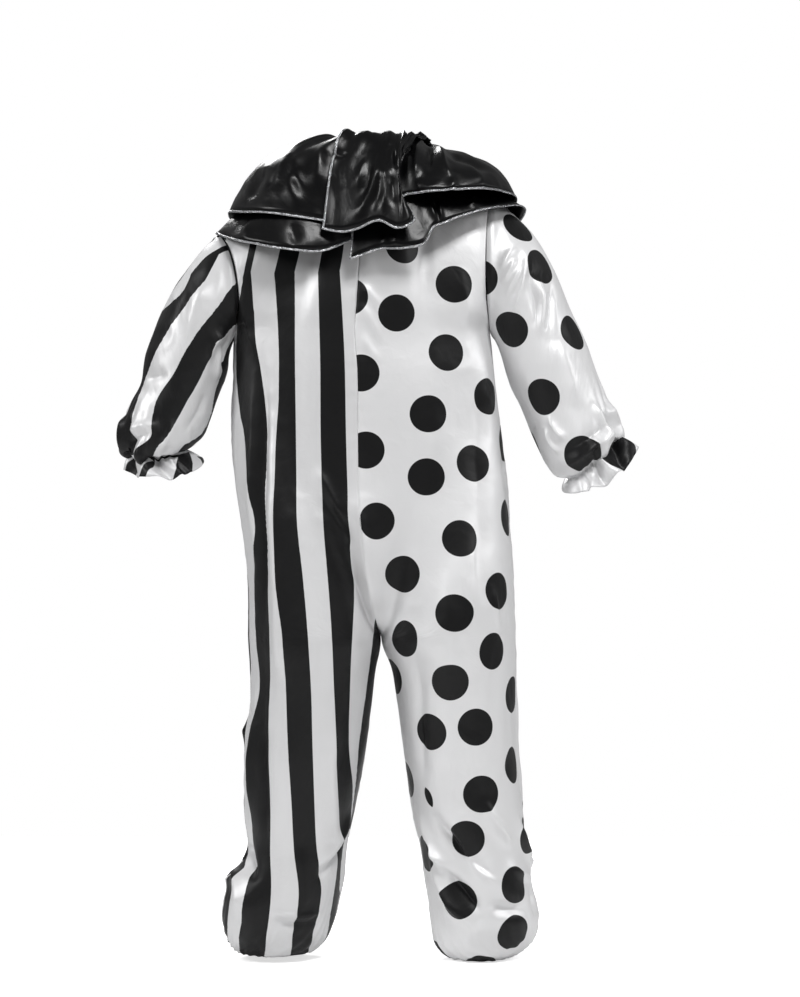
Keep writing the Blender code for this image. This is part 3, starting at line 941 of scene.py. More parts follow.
    def leg_section(self, row: dict[str, float], face: Face) -> Array:
        """Half a leg's ring as (x, y): half an ellipse, from its inseam to its side seam."""
        turn = np.linspace(0.0, math.pi, self.columns + 1)
        middle, half = (row["inner"] + row["outer"]) / 2, (row["outer"] - row["inner"]) / 2
        return np.stack([middle - half * np.cos(turn), row[face.value] * np.sin(turn)], axis=-1)

    def lower(self, side: Side, face: Face) -> Array:
        """The panel below the underarm: trunk levels that part into the leg, then the leg's levels."""
        legs = [dict(zip(self.leg_columns, row)) for row in self.legs[side.value]]
        hip = self.leg_section(legs[0], face)
        near_seam = np.clip(1.0 - np.linspace(0.0, 1.0, self.columns + 1) / self.part_from, 0.0, 1.0) ** 2
        levels = []
        for values in self.trunk:
            row = dict(zip(self.trunk_columns, values))
            share = (row["part"] + (row["split"] - row["part"]) * near_seam)[:, None]
            flat = (1.0 - share) * self.trunk_section(row, side, face) + share * hip
            flat[0, 0] = row[f"centre_{face.value}"]
            levels.append((flat, row["z"]))
        levels += [(self.leg_section(row, face), row["z"]) for row in legs]
        return np.array([np.column_stack([flat, np.full(len(flat), z)]) for flat, z in levels])

    def armhole(self, side: Side, face: Face, rows: int) -> Array:
        """The armhole's seam on a panel, from the shoulder tip to the underarm: a bow cut into the panel."""
        hole = self.armholes[side.value]
        along = np.linspace(0.0, 1.0, rows)
        (tip_x, tip_z), (pit_x, pit_z) = hole["tip"], hole["pit"]
        bow = np.sin(math.pi * along)
        ease = 0.5 - 0.5 * np.cos(math.pi * along)
        x = tip_x + (pit_x - tip_x) * along - side.sign * hole["cut_in"] * bow
        z = tip_z + (pit_z - tip_z) * ((1.0 - self.armhole_ease) * along + self.armhole_ease * ease)
        return np.stack([x, hole["depth"] * np.abs(bow) ** self.armhole_round * face.sign, z], axis=-1)

    def top(self, side: Side, face: Face) -> Array:
        """The neckline from the centre seam to the neck point, then the shoulder seam out to its tip."""
        centre = self.trunk[0][self.trunk_columns.index(f"centre_{face.value}")]
        start = math.asin((self.neck_pull * centre - self.neckline.x) / self.neckline.wide)
        end = math.asin((self.neck_point_x[side.value] - self.neckline.x) / self.neckline.wide)
        both = self.neckline.at(np.array([end, math.pi - end]))
        if face is Face.FRONT:
            start, end = math.pi - start, math.pi - end
        neck = self.neckline.at(np.linspace(start, end, self.neck_columns + 1))
        neck[-1] = both.mean(axis=0)
        tip_x, tip_z = self.armholes[side.value]["tip"]
        share = np.linspace(0.0, 1.0, self.columns - self.neck_columns + 1)[:, None]
        shoulder = neck[-1] + (np.array([tip_x, 0.0, tip_z]) - neck[-1]) * share
        shoulder[:, 2] += self.shoulder_rise * np.sin(math.pi * share[:, 0])
        return np.concatenate([neck, shoulder[1:]])

    def panel(self, side: Side, face: Face) -> Array:
        """A body panel's coarse grid, from the neckline and shoulder to the ankle.

        Args:
            side: The half of the suit.
            face: Its back or front.

        Returns:
            A Coons patch down to the underarm, then the levels below it, with the largest folds.
        """
        lower, top = self.lower(side, face), self.top(side, face)
        fall = np.linspace(0.0, 1.0, self.armhole_rows + 1)[:, None]
        centre = top[0] + (lower[0, 0] - top[0]) * fall
        bowed = np.sin(math.pi / 2 * fall[:, 0]) ** self.armhole_round
        centre[:, 1] = top[0, 1] + (lower[0, 0, 1] - top[0, 1]) * bowed
        side_edge = self.armhole(side, face, self.armhole_rows + 1)
        u = np.linspace(0.0, 1.0, len(top))[None, :, None]
        v = fall[:, :, None]
        ruled = (1 - v) * top[None] + v * lower[0][None] + (1 - u) * centre[:, None] + u * side_edge[:, None]
        corners = (1 - u) * (1 - v) * top[0] + u * (1 - v) * top[-1]
        corners = corners + (1 - u) * v * lower[0, 0] + u * v * lower[0, -1]
        grid = np.concatenate([(ruled - corners)[:-1], lower])
        return grid + self.large_folds(f"{face.value}_{side.value}", grid, face)

    def large_folds(self, name: str, grid: Array, face: Face) -> Array:
        """The largest folds of a panel: cosine ridges along straight lines, faded at their ends and seams."""
        normals = normals_of(grid)
        normals = normals * np.sign(np.sum(normals[..., 1]) * face.sign)
        round_share = np.broadcast_to(np.linspace(0.0, 1.0, grid.shape[1]), grid.shape[:2])
        moved = np.zeros(grid.shape[:2])
        for values in self.folds:
            fold = dict(zip(self.fold_columns, values))
            if fold["piece"] != name:
                continue
            down = (fold["from_z"] - grid[..., 2]) / (fold["from_z"] - fold["to_z"])
            middle = fold["from_round"] + (fold["to_round"] - fold["from_round"]) * down
            across = np.clip(np.abs(round_share - middle) / fold["width"], 0.0, 1.0)
            fade = np.clip(np.minimum(down, 1.0 - down) / self.fold_end, 0.0, 1.0)
            edge = np.sin(math.pi * round_share) ** 0.5
            moved += fold["depth"] * (0.5 + 0.5 * np.cos(math.pi * across)) * fade * edge
        return normals * moved[..., None]


@dataclass(frozen=True)
class SleeveCut:
    """A sleeve's rings: its outer and inner edge, half its depth, its middle in Y and how its back hangs."""

    side: Side
    rings: Table
    columns: tuple[str, ...] = ("outer_x", "outer_z", "inner_x", "inner_z", "depth", "y", "sag")
    around: int = 16

    def grid(self, block: SuitBlock) -> Array:
        """The coarse grid: the armhole's ring, then each ring as a tilted ellipse, from the shoulder."""
        back = block.armhole(self.side, Face.BACK, block.armhole_rows + 1)
        front = block.armhole(self.side, Face.FRONT, block.armhole_rows + 1)
        rings = [np.concatenate([back[:-1], front[:0:-1]])]
        turn = np.arange(self.around) * TURN / self.around
        for values in self.rings:
            row = dict(zip(self.columns, values))
            outer = np.array([row["outer_x"], row["y"], row["outer_z"]])
            inner = np.array([row["inner_x"], row["y"], row["inner_z"]])
            half = (outer - inner) / 2.0
            along = np.array([half[2], 0.0, -half[0]]) / np.hypot(half[0], half[2])
            along = along if along[2] < 0 else -along
            ring = (outer + inner) / 2.0 + half * np.cos(turn)[:, None]
            ring[:, 1] += row["depth"] * np.sin(turn)
            rings.append(ring + along * (row["sag"] * np.sin(turn))[:, None])
        return np.array(rings)


# ---- listed creases

# Creases of the suit, in a table for each side they are seen from: where each starts, bends and ends as
# (across, height), its width and height in millimetres, and how many times wider its far end is.
BACK_FOLDS: Table = (
    # Striped back: a deep pleat under the arm that swallows cloth, and its soft ridge.
    ((0.221, -0.360), (0.217, -0.635), (0.218, -0.985), 10, -9, 1.2),
    ((0.243, -0.440), (0.238, -0.690), (0.238, -0.960), 16, 6, 1.0),
    ((0.200, -0.500), (0.198, -0.700), (0.194, -0.930), 15, 4, 1.0),
    ((0.258, -0.275), (0.247, -0.350), (0.221, -0.440), 9, 5, 1.4),
    ((0.118, -0.620), (0.086, -0.684), (0.052, -0.745), 10, 5, 1.3),
    ((0.105, -0.680), (0.075, -0.735), (0.040, -0.790), 9, -4, 1.3),
    ((0.191, -0.770), (0.190, -0.925), (0.187, -1.060), 17, 6, 1.0),
    # Striped leg.
    ((0.234, -1.010), (0.243, -1.200), (0.246, -1.360), 16, 7, 1.0),
    ((0.219, -1.060), (0.219, -1.240), (0.221, -1.390), 11, -6, 1.0),
    ((0.074, -1.020), (0.084, -1.236), (0.072, -1.390), 18, 5, 1.0),
    ((0.040, -1.300), (0.074, -1.360), (0.112, -1.412), 12, 7, 1.3),
    ((0.052, -1.345), (0.085, -1.400), (0.120, -1.440), 9, -5, 1.2),
    ((0.212, -1.486), (0.154, -1.500), (0.098, -1.492), 7, 4, 1.0),
    ((0.205, -1.503), (0.154, -1.516), (0.104, -1.508), 7, -3, 1.0),
    ((0.262, -1.350), (0.247, -1.392), (0.228, -1.440), 9, -9, 1.2),
    ((0.280, -1.400), (0.268, -1.450), (0.262, -1.520), 16, 8, 1.0),
    ((0.146, -1.360), (0.141, -1.429), (0.152, -1.540), 14, 4, 1.2),
    # Dotted back.
    ((0.026, -0.272), (0.007, -0.299), (-0.024, -0.330), 6, 3, 1.3),
    ((0.028, -0.306), (0.008, -0.349), (-0.020, -0.392), 7, 3, 1.4),
    ((0.029, -0.365), (0.012, -0.400), (-0.008, -0.430), 6, 2, 1.4),
    ((-0.199, -0.400), (-0.200, -0.655), (-0.196, -0.930), 24, -6, 1.0),
    ((-0.119, -0.290), (-0.113, -0.500), (-0.105, -0.720), 38, 4, 1.0),
    ((-0.168, -0.240), (-0.176, -0.330), (-0.184, -0.430), 12, 4, 1.3),
    ((-0.184, -0.750), (-0.186, -0.848), (-0.190, -0.960), 9, 4, 1.0),
    ((-0.222, -0.850), (-0.233, -0.907), (-0.243, -0.960), 7, 3, 1.0),
    ((-0.144, -0.780), (-0.138, -0.963), (-0.134, -1.140), 26, 5, 1.0),
    ((-0.076, -0.970), (-0.086, -1.120), (-0.096, -1.270), 18, -5, 1.0),
    # Dotted leg: satin pulled from the inner knee down to the outer ankle.
    ((-0.084, -1.285), (-0.112, -1.375), (-0.240, -1.462), 10, 13, 1.2),
    ((-0.100, -1.285), (-0.165, -1.371), (-0.252, -1.436), 12, -9, 1.2),
    ((-0.205, -1.262), (-0.235, -1.324), (-0.272, -1.372), 8, 8, 1.2),
    ((-0.102, -1.385), (-0.137, -1.461), (-0.222, -1.548), 10, 12, 1.2),
    ((-0.128, -1.395), (-0.170, -1.455), (-0.215, -1.500), 10, -8, 1.2),
    ((-0.210, -1.474), (-0.258, -1.490), (-0.305, -1.486), 14, -10, 1.0),
    ((-0.150, -1.330), (-0.190, -1.400), (-0.245, -1.440), 7, 7, 1.2),
    ((-0.250, -1.395), (-0.285, -1.420), (-0.312, -1.432), 9, 5, 1.0),
    # Dotted sleeve.
    ((-0.300, -0.186), (-0.281, -0.276), (-0.262, -0.352), 8, 6, 1.1),
    ((-0.322, -0.250), (-0.323, -0.320), (-0.318, -0.382), 9, 5, 1.2),
    ((-0.299, -0.240), (-0.307, -0.305), (-0.314, -0.372), 7, -5, 1.2),
    ((-0.345, -0.250), (-0.340, -0.319), (-0.328, -0.378), 8, -4, 1.2),
    ((-0.240, -0.246), (-0.255, -0.223), (-0.280, -0.197), 5, 4, 1.2),
    ((-0.245, -0.274), (-0.258, -0.246), (-0.280, -0.219), 6, 4, 1.2),
    ((-0.250, -0.300), (-0.265, -0.262), (-0.286, -0.236), 5, 3, 1.2),
    ((-0.356, -0.370), (-0.376, -0.440), (-0.389, -0.520), 24, 6, 1.0),
    ((-0.470, -0.561), (-0.417, -0.590), (-0.362, -0.632), 7, 6, 1.2),
    ((-0.460, -0.548), (-0.415, -0.570), (-0.355, -0.612), 8, -5, 1.2),
    ((-0.444, -0.600), (-0.403, -0.630), (-0.362, -0.646), 6, 4, 1.0),
    ((-0.327, -0.548), (-0.340, -0.580), (-0.365, -0.604), 6, 5, 1.1),
    ((-0.334, -0.522), (-0.351, -0.557), (-0.376, -0.576), 7, 5, 1.1),
    ((-0.415, -0.495), (-0.437, -0.537), (-0.452, -0.572), 9, 5, 1.0),
    # Striped sleeve.
    ((0.287, -0.372), (0.297, -0.404), (0.299, -0.446), 6, -7, 1.1),
    ((0.282, -0.352), (0.316, -0.390), (0.328, -0.444), 9, 7, 1.1),
    ((0.300, -0.392), (0.309, -0.425), (0.313, -0.470), 7, 5, 1.0),
    ((0.496, -0.590), (0.468, -0.575), (0.424, -0.566), 6, -7, 1.2),
    ((0.494, -0.566), (0.463, -0.555), (0.415, -0.546), 9, 6, 1.2),
    ((0.452, -0.458), (0.431, -0.452), (0.400, -0.448), 9, -5, 1.1),
    ((0.326, -0.255), (0.349, -0.324), (0.372, -0.390), 18, 5, 1.1),
    ((0.334, -0.480), (0.345, -0.521), (0.374, -0.572), 9, -5, 1.0),
    ((0.424, -0.605), (0.404, -0.577), (0.386, -0.535), 6, 5, 1.6),
    ((0.452, -0.603), (0.442, -0.580), (0.430, -0.540), 6, 4, 1.6),
)
FRONT_FOLDS: Table = (
    # Striped front: long falls from the shoulder, and creases at the knee and ankle.
    ((0.190, -0.300), (0.196, -0.620), (0.192, -0.960), 13, -7, 1.2),
    ((0.150, -0.240), (0.138, -0.500), (0.132, -0.780), 30, 6, 1.0),
    ((0.060, -0.260), (0.070, -0.460), (0.064, -0.700), 22, 4, 1.0),
    ((0.225, -0.300), (0.205, -0.345), (0.170, -0.385), 9, 5, 1.3),
    ((0.030, -0.820), (0.070, -0.875), (0.140, -0.910), 13, 6, 1.3),
    ((0.035, -0.870), (0.080, -0.930), (0.150, -0.975), 12, -5, 1.3),
    ((0.210, -0.860), (0.170, -0.920), (0.110, -0.960), 13, 5, 1.2),
    ((0.120, -1.000), (0.128, -1.150), (0.140, -1.300), 22, 6, 1.0),
    ((0.200, -1.040), (0.205, -1.200), (0.214, -1.340), 14, -6, 1.0),
    ((0.060, -1.300), (0.110, -1.370), (0.180, -1.410), 12, 8, 1.2),
    ((0.250, -1.340), (0.200, -1.405), (0.130, -1.440), 12, 7, 1.2),
    ((0.080, -1.420), (0.140, -1.480), (0.220, -1.500), 11, 6, 1.0),
    ((0.275, -1.420), (0.230, -1.500), (0.190, -1.545), 12, -6, 1.0),
    # Dotted front.
    ((-0.180, -0.300), (-0.190, -0.600), (-0.196, -0.940), 18, -6, 1.1),
    ((-0.120, -0.230), (-0.130, -0.500), (-0.124, -0.800), 32, 6, 1.0),
    ((-0.070, -0.270), (-0.080, -0.430), (-0.078, -0.640), 18, -4, 1.0),
    ((-0.205, -0.280), (-0.185, -0.335), (-0.150, -0.380), 9, 5, 1.3),
    ((-0.040, -0.830), (-0.085, -0.880), (-0.160, -0.905), 13, 6, 1.3),
    ((-0.045, -0.885), (-0.100, -0.945), (-0.180, -0.985), 12, -5, 1.3),
    ((-0.240, -0.850), (-0.200, -0.905), (-0.130, -0.950), 12, 5, 1.2),
    ((-0.150, -1.000), (-0.160, -1.150), (-0.176, -1.300), 22, 6, 1.0),
    ((-0.235, -1.020), (-0.240, -1.180), (-0.252, -1.330), 14, -5, 1.0),
    ((-0.100, -1.290), (-0.150, -1.370), (-0.230, -1.410), 12, 8, 1.2),
    ((-0.290, -1.340), (-0.240, -1.420), (-0.160, -1.460), 12, 7, 1.2),
    ((-0.120, -1.430), (-0.180, -1.500), (-0.260, -1.520), 11, 6, 1.0),
    # Sleeves from the front.
    ((0.318, -0.220), (0.335, -0.310), (0.345, -0.390), 10, 6, 1.2),
    ((0.295, -0.300), (0.320, -0.345), (0.352, -0.380), 8, -5, 1.2),
    ((0.440, -0.430), (0.405, -0.470), (0.360, -0.485), 11, -6, 1.1),
    ((0.490, -0.540), (0.450, -0.560), (0.385, -0.560), 9, 6, 1.1),
    ((-0.262, -0.170), (-0.282, -0.270), (-0.288, -0.350), 10, 6, 1.2),
    ((-0.250, -0.290), (-0.280, -0.330), (-0.320, -0.350), 8, -5, 1.2),
    ((-0.400, -0.400), (-0.360, -0.440), (-0.315, -0.450), 11, -6, 1.1),
    ((-0.450, -0.520), (-0.405, -0.560), (-0.350, -0.580), 9, 6, 1.1),
)
# Both sides, from underarm to ankle.
LEFT_FOLDS: Table = (
    ((0.030, -0.420), (0.020, -0.640), (0.028, -0.860), 15, -6, 1.2),
    ((-0.050, -0.450), (-0.055, -0.700), (-0.048, -0.940), 20, 5, 1.0),
    ((-0.020, -1.000), (-0.010, -1.150), (-0.024, -1.300), 18, 6, 1.0),
    ((0.060, -1.080), (0.050, -1.220), (0.066, -1.350), 12, -5, 1.0),
    ((-0.080, -1.350), (-0.030, -1.395), (0.040, -1.385), 11, -8, 1.1),
    ((-0.070, -1.405), (-0.010, -1.440), (0.070, -1.425), 13, 7, 1.1),
)
RIGHT_FOLDS: Table = (
    ((0.020, -0.440), (0.028, -0.640), (0.018, -0.880), 16, -5, 1.2),
    ((-0.060, -0.480), (-0.050, -0.720), (-0.058, -0.960), 20, 5, 1.0),
    ((-0.010, -1.020), (-0.022, -1.180), (-0.012, -1.330), 18, 6, 1.0),
    ((0.070, -1.300), (0.020, -1.380), (-0.060, -1.430), 12, 7, 1.1),
    ((-0.070, -1.380), (0.000, -1.460), (0.060, -1.500), 12, -7, 1.1),
)
SUIT_FOLDS = (
    (View.BACK, BACK_FOLDS),
    (View.FRONT, FRONT_FOLDS),
    (View.LEFT, LEFT_FOLDS),
    (View.RIGHT, RIGHT_FOLDS),
)

# Creases of the collar's upper tier, gathered on the band, and of its lower tier.
UPPER_FOLDS: Table = (
    (View.BACK, (
        # Both shoulders, where the cloth lies flatter than a dome.
        ((0.215, -0.040), (0.238, -0.075), (0.258, -0.120), 34, -11, 1.0),
        ((-0.130, -0.004), (-0.185, -0.030), (-0.225, -0.066), 30, -11, 1.0),
    )),
    (View.FRONT, (
        ((0.120, -0.030), (0.150, -0.090), (0.170, -0.140), 16, -8, 1.2),
        ((0.060, -0.050), (0.068, -0.110), (0.080, -0.180), 14, 7, 1.4),
        ((0.010, -0.050), (0.006, -0.120), (0.012, -0.190), 13, -6, 1.4),
        ((-0.050, -0.050), (-0.062, -0.110), (-0.070, -0.185), 14, 8, 1.4),
        ((-0.100, -0.040), (-0.128, -0.100), (-0.150, -0.150), 15, -7, 1.3),
        ((-0.150, -0.030), (-0.190, -0.070), (-0.215, -0.110), 14, 7, 1.2),
    )),
    (View.BACK, (
        ((0.189, -0.035), (0.197, -0.064), (0.220, -0.090), 6, -6, 1.2),
        ((0.176, -0.028), (0.188, -0.055), (0.200, -0.085), 8, 5, 1.1),
        ((0.158, -0.052), (0.149, -0.076), (0.134, -0.102), 10, -5, 1.0),
        ((0.170, -0.070), (0.160, -0.100), (0.150, -0.135), 12, 4, 1.0),
        ((0.090, -0.014), (0.072, -0.026), (0.045, -0.024), 5, -5, 1.0),
        ((0.104, -0.002), (0.111, -0.046), (0.124, -0.100), 10, 5, 1.6),
        ((0.145, -0.010), (0.162, -0.060), (0.176, -0.120), 14, 4, 1.2),
        ((0.020, -0.028), (0.028, -0.065), (0.038, -0.104), 6, 4, 1.3),
        ((-0.006, -0.012), (0.006, -0.090), (0.052, -0.166), 6, 8, 1.5),
        ((0.010, -0.032), (0.016, -0.079), (0.036, -0.126), 9, -7, 1.2),
        ((-0.012, -0.024), (-0.019, -0.095), (-0.009, -0.146), 7, 8, 1.5),
        ((-0.004, -0.060), (-0.004, -0.100), (0.010, -0.150), 6, -5, 1.4),
        ((-0.034, -0.008), (-0.032, -0.040), (-0.035, -0.068), 4, 5, 1.1),
        ((-0.047, -0.010), (-0.047, -0.040), (-0.042, -0.068), 4, 5, 1.1),
        ((-0.040, -0.016), (-0.040, -0.036), (-0.039, -0.056), 4, -5, 1.0),
        ((-0.059, -0.016), (-0.063, -0.054), (-0.046, -0.094), 6, 6, 1.2),
        ((-0.028, -0.070), (-0.034, -0.098), (-0.032, -0.128), 10, -6, 1.2),
        ((-0.080, 0.004), (-0.078, -0.036), (-0.076, -0.080), 8, 8, 1.1),
        ((-0.074, -0.066), (-0.095, -0.090), (-0.130, -0.078), 7, 6, 1.2),
        ((-0.104, 0.006), (-0.102, -0.028), (-0.098, -0.066), 9, -9, 0.9),
        ((-0.122, 0.006), (-0.132, -0.036), (-0.148, -0.080), 6, 8, 1.1),
        ((-0.150, -0.070), (-0.147, -0.086), (-0.134, -0.098), 7, 5, 1.0),
        ((-0.180, -0.026), (-0.194, -0.060), (-0.208, -0.092), 14, 4, 1.2),
    )),
)
LOWER_FOLDS: Table = (
    (View.BACK, (
        ((-0.014, -0.178), (-0.017, -0.196), (-0.020, -0.212), 6, 5, 1.1),
        ((-0.036, -0.180), (-0.040, -0.196), (-0.042, -0.212), 7, 5, 1.1),
        ((-0.102, -0.112), (-0.111, -0.136), (-0.122, -0.156), 5, 7, 1.1),
        ((-0.122, -0.112), (-0.125, -0.136), (-0.131, -0.156), 5, 6, 1.1),
        ((-0.112, -0.114), (-0.118, -0.136), (-0.126, -0.158), 4, -6, 1.1),
        ((0.243, -0.140), (0.249, -0.165), (0.255, -0.188), 9, 5, 1.2),
        ((0.164, -0.158), (0.157, -0.182), (0.151, -0.208), 10, -5, 1.1),
        ((-0.183, -0.098), (-0.187, -0.114), (-0.192, -0.128), 8, 5, 1.1),
    )),
)

STRIPES_ON_BACK = Stripes(
    edges=(
        (
            (0.010, -0.252), (0.008, -0.577), (-0.012, -0.842), (0.006, -0.956), (0.020, -1.068),
            (0.035, -1.181), (0.043, -1.296), (0.050, -1.345),
        ),
        (
            (0.069, -0.253), (0.064, -0.334), (0.060, -0.415), (0.057, -0.577), (0.055, -0.655),
            (0.053, -0.728), (0.044, -0.842), (0.044, -0.954), (0.048, -1.065), (0.050, -1.179),
            (0.045, -1.295), (0.060, -1.370), (0.069, -1.467),
        ),
        (
            (0.111, -0.252), (0.109, -0.334), (0.107, -0.415), (0.106, -0.577), (0.104, -0.655),
            (0.101, -0.728), (0.092, -0.842), (0.084, -0.953), (0.080, -1.064), (0.079, -1.177),
            (0.075, -1.290), (0.070, -1.377), (0.079, -1.462), (0.094, -1.545),
        ),
        (
            (0.157, -0.251), (0.156, -0.333), (0.156, -0.415), (0.154, -0.577), (0.153, -0.655),
            (0.152, -0.728), (0.140, -0.842), (0.130, -0.953), (0.124, -1.064), (0.122, -1.176),
            (0.118, -1.287), (0.114, -1.372), (0.106, -1.458), (0.123, -1.543),
        ),
        (
            (0.197, -0.251), (0.191, -0.333), (0.188, -0.414), (0.189, -0.496), (0.193, -0.577),
            (0.194, -0.655), (0.195, -0.728), (0.189, -0.842), (0.177, -0.954), (0.172, -1.064),
            (0.168, -1.177), (0.162, -1.288), (0.158, -1.371), (0.150, -1.455), (0.162, -1.540),
        ),
        (
            (0.242, -0.250), (0.236, -0.332), (0.228, -0.413), (0.220, -0.495), (0.215, -0.577),
            (0.217, -0.655), (0.219, -0.728), (0.214, -0.843), (0.204, -0.955), (0.205, -1.066),
            (0.206, -1.178), (0.206, -1.289), (0.206, -1.373), (0.203, -1.455), (0.212, -1.540),
        ),
        (
            (0.256, -0.250), (0.267, -0.330), (0.271, -0.411), (0.268, -0.494), (0.253, -0.576),
            (0.241, -0.655), (0.230, -0.728), (0.235, -0.843), (0.235, -0.956), (0.225, -1.067),
            (0.244, -1.182), (0.244, -1.293), (0.242, -1.377), (0.250, -1.457), (0.266, -1.547),
        ),
    ),
    dark_first=True,
    last_widths=((-0.25, 0.088), (-0.80, 0.098), (-1.34, 0.100), (-1.41, 0.004), (-1.58, 0.006)),
    straight_past=True,
)
# Where each edge on the front runs at these heights.
FRONT_HEIGHTS = (-0.240, -0.560, -0.900, -1.200, -1.400, -1.550)
FRONT_EDGES = (
    (0.000, -0.002, 0.000, 0.030, 0.060, 0.095),
    (0.044, 0.042, 0.046, 0.072, 0.094, 0.126),
    (0.090, 0.088, 0.092, 0.114, 0.132, 0.160),
    (0.134, 0.132, 0.138, 0.156, 0.172, 0.198),
    (0.178, 0.176, 0.180, 0.196, 0.210, 0.234),
)
STRIPES_ON_FRONT = Stripes(
    edges=tuple(tuple(zip(edge, FRONT_HEIGHTS)) for edge in FRONT_EDGES),
    view=View.FRONT,
)
STRIPES_ON_SLEEVE = Stripes(
    edges=(
        ((0.361, -0.252), (0.377, -0.290), (0.397, -0.308), (0.412, -0.319), (0.452, -0.400)),
        (
            (0.306, -0.215), (0.333, -0.269), (0.365, -0.312), (0.401, -0.361), (0.425, -0.403),
            (0.446, -0.447), (0.465, -0.499), (0.477, -0.531), (0.477, -0.571), (0.474, -0.600),
        ),
        (
            (0.279, -0.277), (0.303, -0.312), (0.340, -0.359), (0.372, -0.408), (0.393, -0.448),
            (0.429, -0.503), (0.435, -0.535), (0.437, -0.571), (0.466, -0.594), (0.480, -0.627),
        ),
        (
            (0.273, -0.345), (0.292, -0.364), (0.316, -0.383), (0.327, -0.415), (0.339, -0.448),
            (0.366, -0.500), (0.383, -0.532), (0.408, -0.571), (0.430, -0.600), (0.434, -0.635),
        ),
        (
            (0.294, -0.398), (0.302, -0.438), (0.319, -0.491), (0.325, -0.522), (0.347, -0.568),
            (0.382, -0.596), (0.390, -0.635),
        ),
    ),
)
DOTS_ON_BACK = Dots(
    seen=(
        (-0.055, -0.200), (-0.152, -0.275), (0.050, -0.300), (-0.041, -0.332),
        (-0.136, -0.408), (0.028, -0.448), (-0.222, -0.491), (-0.101, -0.527), (0.018, -0.597),
        (-0.192, -0.621), (-0.098, -0.649), (-0.003, -0.734), (-0.260, -0.728), (-0.164, -0.767),
        (-0.055, -0.837), (-0.237, -0.870), (-0.152, -0.911), (-0.054, -0.962), (-0.229, -0.986),
        (-0.036, -1.038), (-0.144, -1.044), (-0.268, -1.074), (-0.105, -1.142), (-0.194, -1.132),
        (-0.268, -1.211), (-0.204, -1.262), (-0.175, -1.349), (-0.098, -1.384), (-0.292, -1.352),
        (-0.162, -1.469), (-0.272, -1.441), (-0.269, -1.535), (-0.206, -1.612), (-0.118, -1.592),
    ),
    pleated=((-0.104, -1.270),),
)
DOTS_ON_FRONT = Dots(seen=(), view=View.FRONT, offset=0.060)
DOTS_ON_SLEEVE = Dots(
    seen=(
        (-0.282, -0.157), (-0.202, -0.262), (-0.323, -0.237), (-0.262, -0.362), (-0.389, -0.365),
        (-0.324, -0.493), (-0.402, -0.604), (-0.476, -0.603),
    ),
)


# ---- the suit


@dataclass
class BodyPanel:
    """A back or front of one half, cut in one from neck to ankle, where elastic gathers it."""

    side: Side
    face: Face
    print_on_it: Stripes | Dots
    cut: tuple[float, float]
    cut_area: float
    rows: int = 300
    columns: int = 88
    cloth: float = 0.001
    seam_gap: float = 0.00015
    seam_groove: float = 0.0010
    pucker: float = 0.0010
    pleat: float = 0.0040
    pleat_reach: float = 0.055
    pleat_spacing: float = 0.024
    pleat_wander: float = 0.9
    hem_even: float = 0.016
    hem_pleat: float = 0.35
    groove_width: float = 0.0022
    pucker_reach: float = 0.022
    pucker_start: float = 0.003
    drift_size: Size = (0.05, 0.05, 0.09)
    pucker_size: Size = (0.03, 0.03, 0.014)

    @property
    def name(self) -> str:
        """Its node's name."""
        return f"{self.face.value}_{self.side.value}"

    def surface(self, block: SuitBlock) -> Surface:
        """The panel's smooth form, refined from the block's levels."""
        grid = refined(block.panel(self.side, self.face), self.rows, self.columns)
        grid = grid + np.array([self.side.sign, self.face.sign, 0.0]) * self.seam_gap
        cloth = Surface(self.name, grid)
        cloth.face(np.array([0.0, self.face.sign, 0.0]))
        return cloth

    def gathers(self, cloth: Surface, noise: Noise) -> Array:
        """Pleats drawn in by the ankle's elastic: waves across the cloth that fade up the leg.

        Args:
            cloth: The panel's smooth form.
            noise: What the pleats wander with.

        Returns:
            pleat x a sine across the cloth x exp(-distance from the hem / reach), weaker at the hem itself.
        """
        from_hem = cloth.down[-1:] - cloth.down
        drift = noise.at(cloth.rest, self.drift_size)
        wave = np.sin(TURN * (cloth.across / self.pleat_spacing + self.pleat_wander * drift))
        even = self.hem_pleat + (1.0 - self.hem_pleat) * smooth(from_hem, 0.0, self.hem_even)
        fade = np.exp(-from_hem / self.pleat_reach) * even
        return self.pleat * wave * fade * uneven(drift, mean=0.6, swing=0.4)

    def seams(self, cloth: Surface, noise: Noise) -> Array:
        """A groove along each side edge, with small puckers that lean away from it."""
        near = cloth.from_edges()
        groove = -self.seam_groove * bell(near, self.groove_width)
        lean = noise.at(cloth.rest, self.pucker_size)
        fade = bell(near, self.pucker_reach) * smooth(near, 0.0, self.pucker_start)
        return groove + self.pucker * lean * fade


